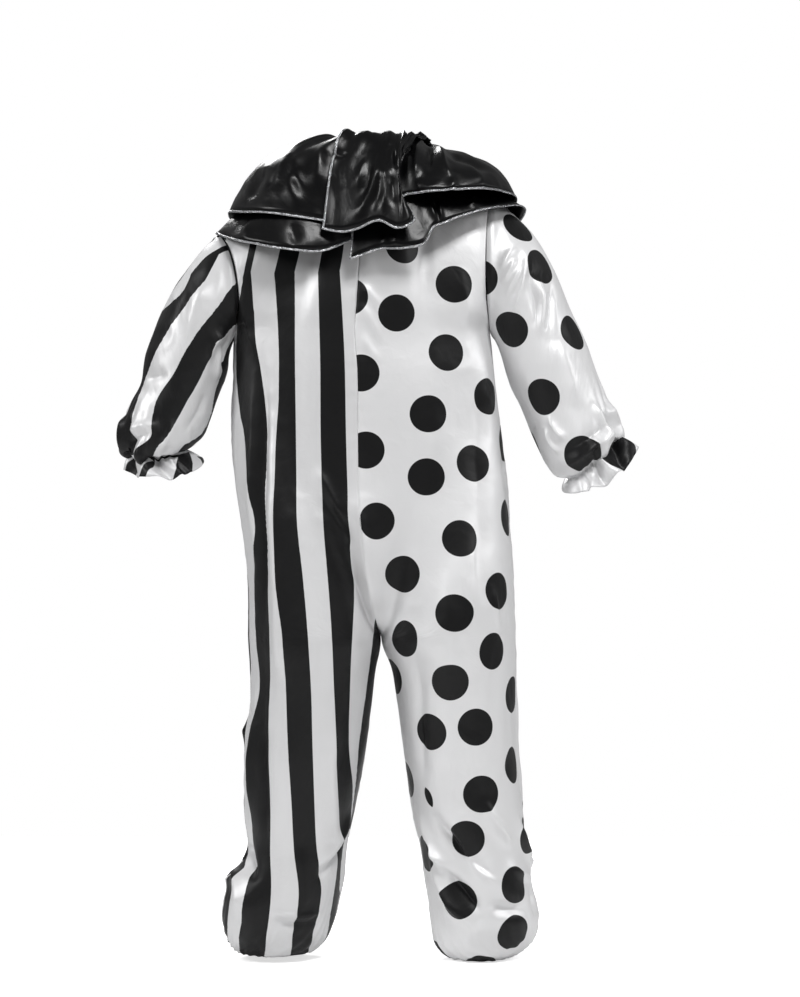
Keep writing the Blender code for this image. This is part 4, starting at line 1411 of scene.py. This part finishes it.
@dataclass
class Sleeve:
    """A sleeve, gathered by elastic near the wrist, whose cloth runs on past it as a ruffle."""

    cut_of: SleeveCut
    print_on_it: Stripes | Dots
    cut: tuple[float, float]
    cut_area: float
    rows: int = 170
    columns: int = 150
    cloth: float = 0.001
    seam_gap: float = 0.00015
    elastic_ring: int = 10
    pleats: int = 21
    pleat: float = 0.0036
    pleat_reach: float = 0.030
    pleat_round: float = 1.3
    pleat_wander: float = 2.2
    waves: int = 6
    wave: float = 0.013
    wave_start: float = 0.030
    wave_wander: float = 2.5
    wave_phase: float = 0.8
    puckers_a_pleat: float = 2.1
    pucker: float = 0.0012
    pucker_reach: float = 0.010
    pucker_wander: float = 3.0
    drift_size: Size = (0.04, 0.04, 0.05)
    cap_fade: float = 0.10
    cap_groove: float = 0.0012
    cap_groove_width: float = 0.0030
    cap_roll: float = 0.0020
    cap_roll_at: float = 0.012
    cap_roll_width: float = 0.008
    hole_points: int = 400

    @property
    def name(self) -> str:
        """Its node's name."""
        return f"sleeve_{self.cut_of.side.value}"

    def surface(self, block: SuitBlock) -> Surface:
        """The sleeve's smooth form, its first ring bent onto the panels' armhole seams."""
        coarse = self.cut_of.grid(block)
        grid = refined(coarse, self.rows, self.columns, closed=True)
        back = block.armhole(self.cut_of.side, Face.BACK, self.hole_points)
        front = block.armhole(self.cut_of.side, Face.FRONT, self.hole_points)
        hole = np.concatenate([back[:-1], front[:0:-1]])
        nearest = np.linalg.norm(grid[0][:, None] - hole[None], axis=-1).argmin(axis=1)
        share = 1.0 - smooth(np.linspace(0.0, 1.0, self.rows), 0.0, self.cap_fade)
        grid = grid + (hole[nearest] - grid[0]) * share[:, None, None]
        # A hair further out and down than the panels, so that no two cloths share a surface.
        grid = grid + np.array([3.0 * self.cut_of.side.sign, 0.0, -2.0]) * self.seam_gap
        # Its own seam, where the cloth's coordinates start and end, runs along the underarm.
        grid = np.roll(grid, self.columns // 2, axis=1)
        cloth = Surface(self.name, grid, closed=True)
        cloth.face(grid - grid.mean(axis=1, keepdims=True))
        return cloth

    def elastic_at(self, cloth: Surface, block: SuitBlock) -> float:
        """How far down the sleeve its elastic lies."""
        down = lengths(self.cut_of.grid(block), 0)
        return float(down[self.elastic_ring] / down[-1] * cloth.down[-1].mean())

    def gathers(self, cloth: Surface, block: SuitBlock, noise: Noise) -> Array:
        """Pleats and small puckers on both sides of the elastic, and the ruffle's larger waves beyond it.

        Args:
            cloth: The sleeve's smooth form.
            block: The suit's pattern block.
            noise: What each of them wanders with.

        Returns:
            The sum of three sines round the sleeve, each faded by its distance from the elastic.
        """
        past = cloth.down - self.elastic_at(cloth, block)
        turn = TURN * np.arange(self.columns) / self.columns
        drift = noise.at(cloth.rest, self.drift_size)
        pleats = np.sin(self.pleats * turn + self.pleat_wander * drift)
        pleats = pleats * bell(past, self.pleat_reach, self.pleat_round)
        waves = np.sin(self.waves * turn + self.wave_wander * drift + self.wave_phase)
        waves = waves * smooth(past, 0.0, self.wave_start)
        puckers = np.sin(self.puckers_a_pleat * self.pleats * turn + self.pucker_wander * drift)
        puckers = puckers * bell(past, self.pucker_reach)
        pleated = self.pleat * pleats * uneven(drift, mean=0.7, swing=0.5)
        return pleated + self.wave * waves + self.pucker * puckers

    def cap(self, cloth: Surface) -> Array:
        """The armhole's seam: a groove, and a soft roll where the sleeve's cloth eases into it."""
        roll = self.cap_roll * bell(cloth.down - self.cap_roll_at, self.cap_roll_width)
        return roll - self.cap_groove * bell(cloth.down, self.cap_groove_width)


@dataclass
class Suit:
    """The one-piece suit: four panels and two sleeves, creased together so that folds cross their seams."""

    block: SuitBlock
    panels: Sequence[BodyPanel]
    sleeves: Sequence[Sleeve]
    folds: Sequence[Fold]
    ripple: float = 0.0042
    ripple_size: Size = (0.070, 0.070, 0.160)
    crumple: float = 0.0022
    crumple_size: Size = (0.030, 0.030, 0.050)
    bend: float = 0.012
    bend_size: Size = (0.09, 0.09, 0.12)
    bend_shifts: Size = (0.0, 0.4, 0.8)  # where in the noise the bends along X, Y and Z are read
    patch_size: Size = (0.16, 0.16, 0.22)
    patch_range: tuple[float, float] = (-0.5, 0.7)
    fold_wander: float = 0.004
    wander_size: Size = (0.05, 0.05, 0.05)
    seam_fade: float = 0.010
    top_fade: float = 0.03
    painted_seam_shadow: float = 0.0035  # painted shadow in the striped sleeve's armhole seam: a dark band this wide, put into the print
    seeds: tuple[int, int, int] = (11, 23, 37)

    def ripples(self, cloth: Surface, broad: Noise, small: Noise) -> Array:
        """Long soft ripples and small crumples that no listed crease gives, in patches."""
        bent = cloth.rest + self.bend * np.stack(
            [broad.at(cloth.rest + shift, self.bend_size) for shift in self.bend_shifts], axis=-1
        )
        patch = smooth(small.at(cloth.rest, self.patch_size), *self.patch_range)
        long = broad.at(bent, self.ripple_size)
        crest = small.ridged(bent, self.crumple_size)
        return self.ripple * long + self.crumple * crest * patch

    def build(self) -> list[tuple[bpy.types.Object, Any]]:
        """Builds every piece.

        Returns:
            Each piece's object with the panel or sleeve that it was built from.
        """
        cloths = [piece.surface(self.block) for piece in (*self.panels, *self.sleeves)]
        broad, small, drift = (Noise(seed) for seed in self.seeds)
        seats = Seats(cloths)
        built = []
        for piece, cloth in zip((*self.panels, *self.sleeves), cloths):
            local = cloth.rest.reshape(-1, 3)
            local = local + self.fold_wander * drift.at(local, self.wander_size)[:, None]
            lift = sum(fold.lift(local, seats) for fold in self.folds).reshape(cloth.rest.shape[:2])
            ink = piece.print_on_it.ink(cloth)
            # The striped sleeve gets a dark band painted along its armhole seam, as painted shadow in the
            # seam's gap.
            if isinstance(piece, Sleeve) and isinstance(piece.print_on_it, Stripes):
                ink = np.maximum(ink, (self.painted_seam_shadow - cloth.down) / MM)
            moved = lift + self.ripples(cloth, broad, small)
            fade = smooth(cloth.down, 0.0, self.top_fade)
            if isinstance(piece, BodyPanel):
                fade = smooth(cloth.from_edges(), 0.0, self.seam_fade) * fade
                moved = (moved + piece.gathers(cloth, drift)) * fade + piece.seams(cloth, small)
            else:
                moved = moved * fade + piece.gathers(cloth, self.block, drift) + piece.cap(cloth)
            cloth.move(moved)
            built.append((cloth.mesh(finish_of(piece.print_on_it), piece.cloth, ink), piece))
        return built


# ---- the collar


@dataclass(frozen=True)
class TierCut:
    """A collar tier: its hem's ridges and hollows as (azimuth, reach, drop), and how it leaves the band."""

    name: str
    hem: Table
    head: float
    puff: float
    puff_side: float
    crown: float
    crown_side: float
    share: float
    folds: Table
    cut: tuple[float, float]


@dataclass
class CollarTier:
    """A tier of the collar, gathered on the band and lapped at the back, with silver on its free edges."""

    cut_of: TierCut
    rows: int = 50
    columns: int = 500
    cloth: float = 0.001
    puff_reach: float = 0.028
    band_clear: float = 0.0009
    solid_cloth: float = 0.002
    lap_fade: float = 2.0
    lap_clear: float = 0.010
    lap_lift: float = 0.014
    lead: float = 0.8
    swing_power: float = 5.0
    trim_width: float = 0.005
    gathers: int = 52
    gather: float = 0.0020
    gather_start: float = 0.14
    gather_reach: float = 0.30
    gather_wander: float = 3.0
    folds_round: int = 21
    fold: float = 0.0090
    fold_at: float = 0.30
    fold_reach: float = 0.42
    fold_slow_wander: float = 4.0
    fold_quick_wander: float = 1.5
    fold_sharp: float = 1.3
    drift_size: Size = (0.05, 0.05, 0.05)
    slow_size: Size = (0.12, 0.12, 0.12)
    slump: float = 0.017
    slump_at: float = 0.42
    slump_reach: float = 0.30
    top_slump: float = 0.0
    top_slump_at: float = 0.15
    top_slump_reach: float = 0.12
    fold_wander: float = 0.003
    wander_size: Size = (0.04, 0.04, 0.04)
    ripple: float = 0.0030
    ripple_size: Size = (0.06, 0.06, 0.06)
    crumple: float = 0.0014
    crumple_size: Size = (0.035, 0.035, 0.035)
    head_fade: float = 0.06
    seeds: tuple[int, int] = (51, 67)

    def surface(self, neckline: Neckline) -> Surface:
        """The tier's smooth form: each column is a cubic from the band, over the shoulder, to the hem."""
        cut = self.cut_of
        hem = np.array(cut.hem, float)
        knots = np.arange(len(hem), dtype=float)
        hem = spline(hem, knots, np.linspace(0.0, knots[-1], self.columns))
        turn, reach, drop = np.radians(hem[:, 0]), hem[:, 1], hem[:, 2]
        # Where the hem doubles back, its columns fall short of it and swing across at their lower end.
        held = np.maximum.accumulate(turn[::-1])[::-1]
        held = held + self.lead * (held - turn)
        neck_turn = np.linspace(turn[0], turn[-1], self.columns)
        lap = np.clip(np.linspace(1.0, -self.lap_fade, self.columns), 0.0, 1.0)
        direction, hem_way, neck_way = (
            np.stack([np.sin(azimuth), np.cos(azimuth), 0.0 * azimuth], axis=-1)
            for azimuth in (held, turn, neck_turn)
        )
        away = self.band_clear + self.solid_cloth + self.lap_clear * lap
        seat = neckline.at(neck_turn) + neck_way * away[:, None] + (0.0, 0.0, cut.head)
        seat[:, 2] += self.lap_lift / 2.0 * lap
        puff = seat + neck_way * self.puff_reach
        puff[:, 2] += cut.puff + (cut.puff_side - cut.puff) * np.sin(neck_turn) ** 2
        puff[:, 2] += self.lap_lift / 2.0 * lap
        crown = neckline.middle + direction * (cut.share * reach)[:, None]
        crown[:, 2] = cut.crown + (cut.crown_side - cut.crown) * np.sin(turn) ** 2 + self.lap_lift * lap
        end = neckline.middle + direction * (reach - self.trim_width / 2.0)[:, None]
        end[:, 2] = drop
        swing = (hem_way - direction) * (reach - self.trim_width / 2.0)[:, None]
        f = np.linspace(0.0, 1.0, self.rows)[:, None, None]
        grid = (1 - f) ** 3 * seat + 3 * f * (1 - f) ** 2 * puff + 3 * f**2 * (1 - f) * crown + f**3 * end
        grid = grid + swing * f**self.swing_power
        cloth = Surface(f"collar_{cut.name}", grid)
        cloth.face(np.array([0.0, 0.0, 1.0]))
        return cloth

    def gathering(self, cloth: Surface, noise: Noise) -> Array:
        """Tight gathers at the band that merge into fewer, wider folds and fade towards the hem.

        Args:
            cloth: The tier's smooth form.
            noise: What the gathers and folds wander with.

        Returns:
            The sum of two sines round the tier, each faded by how far down from the band it is.
        """
        share = np.linspace(0.0, 1.0, self.rows)[:, None]
        turn = np.linspace(0.0, TURN, self.columns)[None, :]
        drift, slow = noise.at(cloth.rest, self.drift_size), noise.at(cloth.rest, self.slow_size)
        tight = np.sin(self.gathers * turn + self.gather_wander * slow)
        tight = tight * bell(share, self.gather_reach) * smooth(share, 0.0, self.gather_start)
        wandered = self.folds_round * turn + self.fold_slow_wander * slow
        wide = np.sin(wandered + self.fold_quick_wander * drift)
        wide = wide * bell(share - self.fold_at, self.fold_reach)
        wide = np.sign(wide) * np.abs(wide) ** self.fold_sharp
        gathered = self.gather * tight * uneven(drift, mean=0.7, swing=0.6)
        return gathered + self.fold * wide * uneven(np.abs(slow), mean=0.25, swing=0.75)

    def build(self, neckline: Neckline) -> tuple[Surface, bpy.types.Object]:
        """Builds the tier.

        Returns:
            Its creased cloth and its object.
        """
        cloth = self.surface(neckline)
        noise, broad = (Noise(seed) for seed in self.seeds)
        local = cloth.rest.reshape(-1, 3)
        local = local + self.fold_wander * noise.at(local, self.wander_size)[:, None]
        seats = Seats([cloth])
        lift = sum(fold.lift(local, seats) for fold in folds_of(self.cut_of.folds, COLLAR_RELIEF))
        moved = lift.reshape(cloth.rest.shape[:2]) + self.gathering(cloth, broad)
        moved = moved + self.ripple * broad.at(cloth.rest, self.ripple_size)
        moved = moved + self.crumple * noise.ridged(cloth.rest, self.crumple_size)
        share = np.linspace(0.0, 1.0, self.rows)[:, None]
        # Satin is limp: over the shoulders it slumps nearly straight from the band to its hem.
        way = cloth.rest[..., :2] - neckline.middle[:2]
        sideways = (way[..., 0] / np.linalg.norm(way, axis=-1)) ** 4
        on_top = bell(share - self.top_slump_at, self.top_slump_reach)
        moved = moved - self.slump * sideways * bell(share - self.slump_at, self.slump_reach)
        moved = moved - self.top_slump * (1.0 - sideways) * on_top
        cloth.move(moved * smooth(share, 0.0, self.head_fade))
        # The tier is a straight strip drawn up on the band, so its threads run from the band to the hem.
        cloth.across = np.tile(np.linspace(0.0, self.cut_of.cut[1], self.columns), (self.rows, 1))
        return cloth, cloth.mesh(BLACK, self.cloth)


@dataclass
class Edging:
    """Silver thread overlocked round a tier: a flat oval cord with a bead at each stitch."""

    tier: CollarTier
    thick: float = 0.0026
    stitch: float = 0.0034
    bead: float = 0.16
    around: int = 8
    step: float = 0.0010
    past_edge: float = 0.6  # how far past the cloth's edge its middle lies, as a share of half its width

    def build(self, cloth: Surface) -> bpy.types.Object:
        """Carries an oval profile down one end of the tier, along its hem and up the other end.

        Args:
            cloth: The tier's creased cloth.

        Returns:
            The edging's object.
        """
        grid, normals = cloth.grid, normals_of(cloth.grid)
        if np.sum(normals * cloth.normals) < 0:
            normals = -normals
        path = np.concatenate([grid[:-1, 0], grid[-1], grid[-2::-1, -1]])
        turned = np.concatenate([normals[:-1, 0], normals[-1], normals[-2::-1, -1]])
        length = run_along(path)
        at = np.arange(0.0, length[-1], self.step)
        line, up = (
            np.stack([np.interp(at, length, values[:, i]) for i in range(3)], axis=-1)
            for values in (path, turned)
        )
        way = np.gradient(line, axis=0)
        out = unit(np.cross(way, up))
        up = unit(np.cross(out, way))
        above, hem = grid[-2:, grid.shape[1] // 2]
        middle = int(np.argmin(np.linalg.norm(line - hem, axis=1)))
        if np.dot(out[middle], above - hem) > 0:
            out = -out
        size = 1.0 + self.bead * np.sin(TURN * at / self.stitch)[:, None, None]
        turn = (np.arange(self.around) * TURN / self.around)[None, :, None]
        half = self.tier.trim_width / 2.0
        ring = np.cos(turn) * out[:, None] * half + np.sin(turn) * up[:, None] * self.thick / 2.0
        centre = line + out * half * self.past_edge
        points = centre[:, None] + ring * size
        return self._tube(f"{self.tier.cut_of.name}_edging", points)

    def _tube(self, name: str, points: Array) -> bpy.types.Object:
        """A closed tube through rings of points, with one face over each end."""
        rows, columns = points.shape[:2]
        ring = np.arange(columns)
        ends = [ring.tolist(), (ring[::-1] + (rows - 1) * columns).tolist()]
        faces = faces_of(rows, columns, closed=True).tolist() + ends
        piece = add_mesh(name, points.reshape(-1, 3).tolist(), faces, SILVER.get())
        centre = points.mean(axis=1, keepdims=True)
        normal = np.cross(points[1:] - points[:-1], np.roll(points, -1, axis=1)[:-1] - points[:-1])
        if np.sum(normal * (points - centre)[:-1]) < 0:
            piece.data.flip_normals()
        return piece


@dataclass
class NeckBand:
    """The stand band that the tiers are gathered on, puckered by their stitching and open at the back."""

    height: float = 0.024
    lean: float = 0.004
    lift: float = 0.0026
    opening_deg: float = 14.0
    rows: int = 14
    columns: int = 240
    cloth: float = 0.0022
    pucker: float = 0.0007
    pucker_size: Size = (0.008, 0.008, 0.03)
    roll: float = 0.0006
    slit: float = 0.0006
    seed: int = 5
    cut: tuple[float, float] = (0.026, 0.53)

    def build(self, neckline: Neckline) -> bpy.types.Object:
        """Builds the band: a strip on the neckline that leans inwards by a few millimetres."""
        slit = self.slit / neckline.wide
        azimuth = math.radians(self.opening_deg) - np.linspace(slit, TURN - slit, self.columns)
        foot = neckline.at(azimuth) + (0.0, 0.0, self.lift)
        inwards = unit((neckline.middle - foot) * (1.0, 1.0, 0.0))
        share = np.linspace(0.0, 1.0, self.rows)[:, None, None]
        grid = foot + share * (inwards * self.lean + (0.0, 0.0, self.height))
        cloth = Surface("neck_band", grid)
        cloth.face(-inwards)
        wave = Noise(self.seed).at(cloth.rest, self.pucker_size)
        roll = -self.roll * (2.0 * share[..., 0] - 1.0) ** 4
        cloth.move(-self.pucker * (0.5 + 0.5 * wave) + roll)
        return cloth.mesh(BLACK, self.cloth)


@dataclass
class Collar:
    """The collar: a stand band and two tiers, each edged with silver."""

    neckline: Neckline
    band: NeckBand
    tiers: Sequence[CollarTier]

    def build(self) -> list[tuple[bpy.types.Object, Any, bpy.types.Object | None]]:
        """Builds the band, the tiers and their edging.

        Returns:
            For each cloth, its object, what it was built from, and its edging's object.
        """
        found = [(self.band.build(self.neckline), self.band, None)]
        for tier in self.tiers:
            cloth, piece = tier.build(self.neckline)
            found.append((piece, tier, Edging(tier).build(cloth)))
        return found


# ---- finishes


class Finish:
    """A material that is made once, when a piece first asks for it."""

    def __init__(self, recipe: PolyesterSatin | SilverThread, slot: str) -> None:
        """Keeps the recipe and a slot name for it."""
        self.recipe = recipe
        self.slot = slot
        self.made: bpy.types.Material | None = None

    def get(self) -> bpy.types.Material:
        """The material."""
        if self.made is None:
            self.made = self.recipe.make()
        return self.made


STRIPED = Finish(PolyesterSatin("striped_polyester_satin", "#d6d6d7", ior=1.60), "striped_satin")
DOTTED = Finish(PolyesterSatin("dotted_polyester_satin", "#dededf", ior=1.60), "dotted_satin")
BLACK = Finish(
    PolyesterSatin(
        "black_polyester_satin",
        "#040405",
        light_roughness=0.31,
        rib_depth=0.010,
        metallic=0.0,
        sheen=0.0,
        anisotropic=0.70,
        ior=1.34,
    ),
    "black_satin",
)
SILVER = Finish(SilverThread("silver_overlock_thread"), "silver_edging")


def finish_of(print_on_it: Stripes | Dots) -> Finish:
    """The satin that a print is on."""
    return STRIPED if isinstance(print_on_it, Stripes) else DOTTED


# ---- studio


@dataclass(frozen=True)
class Softbox:
    """A square soft light: where it stands, what it points at, its side and its power in watts."""

    name: str
    place: tuple[float, float, float]
    target: tuple[float, float, float]
    side: float
    power: float

    def build(self) -> None:
        """Adds the light."""
        light = bpy.data.lights.new(self.name, "AREA")
        light.shape = "SQUARE"
        light.size = self.side
        light.energy = self.power
        aim(linked(self.name, light), self.place, self.target)


def aim(thing: bpy.types.Object, place: Sequence[float], target: Sequence[float]) -> None:
    """Puts a light or camera at a place, looking at a target."""
    way = Vector(target) - Vector(place)
    thing.location = place
    thing.rotation_euler = way.to_track_quat("-Z", "Y").to_euler()


@dataclass
class Studio:
    """A plain white studio: paper floor, even white surroundings, softboxes, and a camera behind the suit."""

    camera_place: tuple[float, float, float] = (-0.0473, 7.0, -0.6905)
    frame_height: float = 1.964
    sensor: float = 36.0
    floor_drop: float = 0.004
    floor_size: float = 5.0
    surround: float = 0.24
    boxes: tuple[Softbox, ...] = (
        Softbox("key_softbox", (-1.2, 3.0, 3.0), (0.0, 0.0, -0.5), 1.2, 165.0),
        Softbox("side_softbox", (3.6, 1.7, 1.5), (0.0, 0.0, -0.6), 1.2, 85.0),
        Softbox("edge_softbox", (-3.7, 0.9, 0.9), (0.0, 0.0, -0.7), 0.9, 34.0),
        Softbox("front_softbox", (1.4, -3.8, 2.2), (0.0, 0.0, -0.6), 1.2, 110.0),
    )

    def build(self) -> None:
        """Builds the floor, the surroundings, the lights and the camera."""
        self._floor()
        self._surroundings()
        for box in self.boxes:
            box.build()
        eye = bpy.data.cameras.new("camera")
        eye.sensor_width = self.sensor
        eye.lens = self.sensor * self.camera_place[1] / self.frame_height
        camera = linked("camera", eye)
        x, _, z = self.camera_place
        aim(camera, self.camera_place, (x, 0.0, z))
        bpy.context.scene.camera = camera
        bpy.context.scene.view_settings.view_transform = "Standard"

    def _floor(self) -> None:
        """A square of paper just under the hems."""
        half, z = self.floor_size / 2.0, CAD_BOX[0][2] - self.floor_drop
        corners = [(-half, -half, z), (half, -half, z), (half, half, z), (-half, half, z)]
        floor = add_mesh("floor", corners, [(0, 1, 2, 3)], StudioPaper().make())

    def _surroundings(self) -> None:
        """White surroundings: full white to the camera, dimmer as light, so the cloth keeps its shade."""
        world = bpy.data.worlds.new("studio")
        world.use_nodes = True
        tree = world.node_tree
        tree.nodes.clear()
        kinds = ("LightPath", "Background", "Background", "MixShader", "OutputWorld")
        path, lit, seen, mix, out = (tree.nodes.new(f"ShaderNode{kind}") for kind in kinds)
        for background, strength in ((lit, self.surround), (seen, 1.0)):
            background.inputs["Color"].default_value = (1.0, 1.0, 1.0, 1.0)
            background.inputs["Strength"].default_value = strength
        sources = (path.outputs["Is Camera Ray"], lit.outputs[0], seen.outputs[0])
        for source, socket in zip(sources, mix.inputs):
            tree.links.new(source, socket)
        tree.links.new(mix.outputs[0], out.inputs[0])
        bpy.context.scene.world = world


# ---- sizes

LEFT_SLEEVE = SleeveCut(
    Side.LEFT,
    (
        (0.341, -0.199, 0.290, -0.402, 0.096, 0.000, 0.000),
        (0.376, -0.243, 0.294, -0.431, 0.096, 0.000, 0.004),
        (0.406, -0.296, 0.300, -0.457, 0.093, 0.000, 0.006),
        (0.429, -0.349, 0.307, -0.475, 0.090, 0.000, 0.006),
        (0.449, -0.402, 0.315, -0.498, 0.087, 0.002, 0.006),
        (0.460, -0.461, 0.327, -0.534, 0.085, 0.004, 0.008),
        (0.483, -0.504, 0.339, -0.563, 0.084, 0.006, 0.012),
        (0.504, -0.560, 0.351, -0.577, 0.080, 0.008, 0.020),
        (0.500, -0.598, 0.364, -0.587, 0.068, 0.008, 0.018),
        (0.476, -0.606, 0.380, -0.592, 0.048, 0.008, 0.004),
        (0.486, -0.622, 0.358, -0.604, 0.062, 0.008, 0.014),
        (0.490, -0.634, 0.338, -0.618, 0.074, 0.008, 0.024),
    ),
)
RIGHT_SLEEVE = SleeveCut(
    Side.RIGHT,
    (
        (-0.268, -0.130, -0.240, -0.392, 0.097, 0.000, 0.000),
        (-0.308, -0.168, -0.248, -0.416, 0.097, 0.000, 0.002),
        (-0.347, -0.235, -0.257, -0.447, 0.094, 0.000, 0.004),
        (-0.384, -0.319, -0.268, -0.479, 0.090, 0.000, 0.004),
        (-0.408, -0.372, -0.282, -0.506, 0.087, 0.002, 0.004),
        (-0.431, -0.441, -0.299, -0.552, 0.085, 0.004, 0.006),
        (-0.455, -0.510, -0.321, -0.599, 0.084, 0.006, 0.010),
        (-0.466, -0.543, -0.335, -0.625, 0.080, 0.008, 0.014),
        (-0.473, -0.562, -0.352, -0.645, 0.068, 0.008, 0.012),
        (-0.470, -0.574, -0.378, -0.652, 0.048, 0.008, 0.004),
        (-0.490, -0.582, -0.368, -0.664, 0.062, 0.008, 0.016),
        (-0.505, -0.594, -0.366, -0.674, 0.074, 0.008, 0.028),
    ),
)
UPPER_TIER = TierCut(
    name="upper",
    hem=(
        (30, 0.212, -0.171), (21, 0.208, -0.177), (12, 0.208, -0.173), (0, 0.215, -0.157),
        (-9, 0.228, -0.172), (-16, 0.234, -0.162), (-17, 0.210, -0.140), (-10, 0.182, -0.120),
        (-17, 0.184, -0.104), (-28, 0.207, -0.099), (-42, 0.235, -0.094), (-62, 0.262, -0.091),
        (-82, 0.272, -0.100), (-105, 0.264, -0.125), (-122, 0.276, -0.150), (-140, 0.246, -0.175),
        (-156, 0.256, -0.195), (-172, 0.232, -0.205), (-188, 0.250, -0.208), (-205, 0.236, -0.192),
        (-222, 0.268, -0.175), (-240, 0.268, -0.152), (-256, 0.294, -0.140), (-272, 0.296, -0.128),
        (-290, 0.284, -0.131), (-309, 0.254, -0.140), (-329, 0.196, -0.154), (-348, 0.180, -0.158),
    ),
    head=0.015, puff=0.024, puff_side=0.046, crown=0.004, crown_side=0.034, share=0.80,
    folds=UPPER_FOLDS,
    cut=(0.25, 1.50),
)
LOWER_TIER = TierCut(
    name="lower",
    hem=(
        (17, 0.184, -0.228), (0, 0.186, -0.210), (-14, 0.196, -0.208), (-25, 0.204, -0.200),
        (-32, 0.198, -0.167), (-38, 0.206, -0.158), (-45, 0.218, -0.146), (-57, 0.240, -0.129),
        (-70, 0.262, -0.120), (-86, 0.289, -0.122), (-105, 0.268, -0.165), (-122, 0.276, -0.195),
        (-140, 0.248, -0.220), (-156, 0.256, -0.240), (-172, 0.232, -0.252), (-188, 0.248, -0.252),
        (-205, 0.236, -0.237), (-222, 0.268, -0.220), (-240, 0.272, -0.198), (-257, 0.300, -0.182),
        (-271, 0.320, -0.168), (-286, 0.312, -0.179), (-300, 0.300, -0.193), (-315, 0.262, -0.209),
        (-327, 0.212, -0.214), (-338, 0.176, -0.195), (-346, 0.154, -0.180),
    ),
    head=0.003, puff=0.004, puff_side=0.006, crown=-0.030, crown_side=-0.070, share=0.70,
    folds=LOWER_FOLDS,
    cut=(0.27, 1.40),
)


def declare(
    piece: bpy.types.Object,
    node: str,
    cut: tuple[float, float],
) -> None:
    """Attaches a piece of cloth to the root, hides the CAD node that it stands for, and logs its size.

    Args:
        piece: Its object.
        node: The CAD node that it stands for.
        cut: The width and length it was cut to, in metres.
    """
    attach(piece, "root")
    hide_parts(node)
    LOG.info("%s: %d points, cut %.2f x %.2f m", piece.name, len(piece.data.vertices), *cut)


def main() -> None:
    """Builds the suit, the collar and the studio in order."""
    logging.basicConfig(level=logging.INFO, format="%(name)s: %(message)s")
    block = SuitBlock()
    suit = Suit(
        block=block,
        panels=(
            BodyPanel(Side.LEFT, Face.BACK, STRIPES_ON_BACK, (0.43, 1.62), 0.535),
            BodyPanel(Side.RIGHT, Face.BACK, DOTS_ON_BACK, (0.45, 1.62), 0.562),
            BodyPanel(Side.LEFT, Face.FRONT, STRIPES_ON_FRONT, (0.46, 1.60), 0.582),
            BodyPanel(Side.RIGHT, Face.FRONT, DOTS_ON_FRONT, (0.39, 1.60), 0.485),
        ),
        sleeves=(
            Sleeve(LEFT_SLEEVE, STRIPES_ON_SLEEVE, (0.46, 0.56), 0.217),
            Sleeve(RIGHT_SLEEVE, DOTS_ON_SLEEVE, (0.50, 0.62), 0.257),
        ),
        folds=folds_of(SUIT_FOLDS, SUIT_RELIEF),
    )
    for piece, source in suit.build():
        declare(piece, source.name, source.cut)
    tiers = (CollarTier(UPPER_TIER, top_slump=0.011), CollarTier(LOWER_TIER))
    collar = Collar(block.neckline, NeckBand(), tiers)
    for piece, source, edging in collar.build():
        if edging is None:
            declare(piece, "neck_band", source.cut)
            continue
        name = source.cut_of.name
        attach(edging, "root")
        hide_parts(f"trim_{name}")
        LOG.info("%s: %d points", edging.name, len(edging.data.vertices))
        declare(piece, f"collar_{name}", source.cut_of.cut)
    Studio().build()


if __name__ == "__main__":
    main()
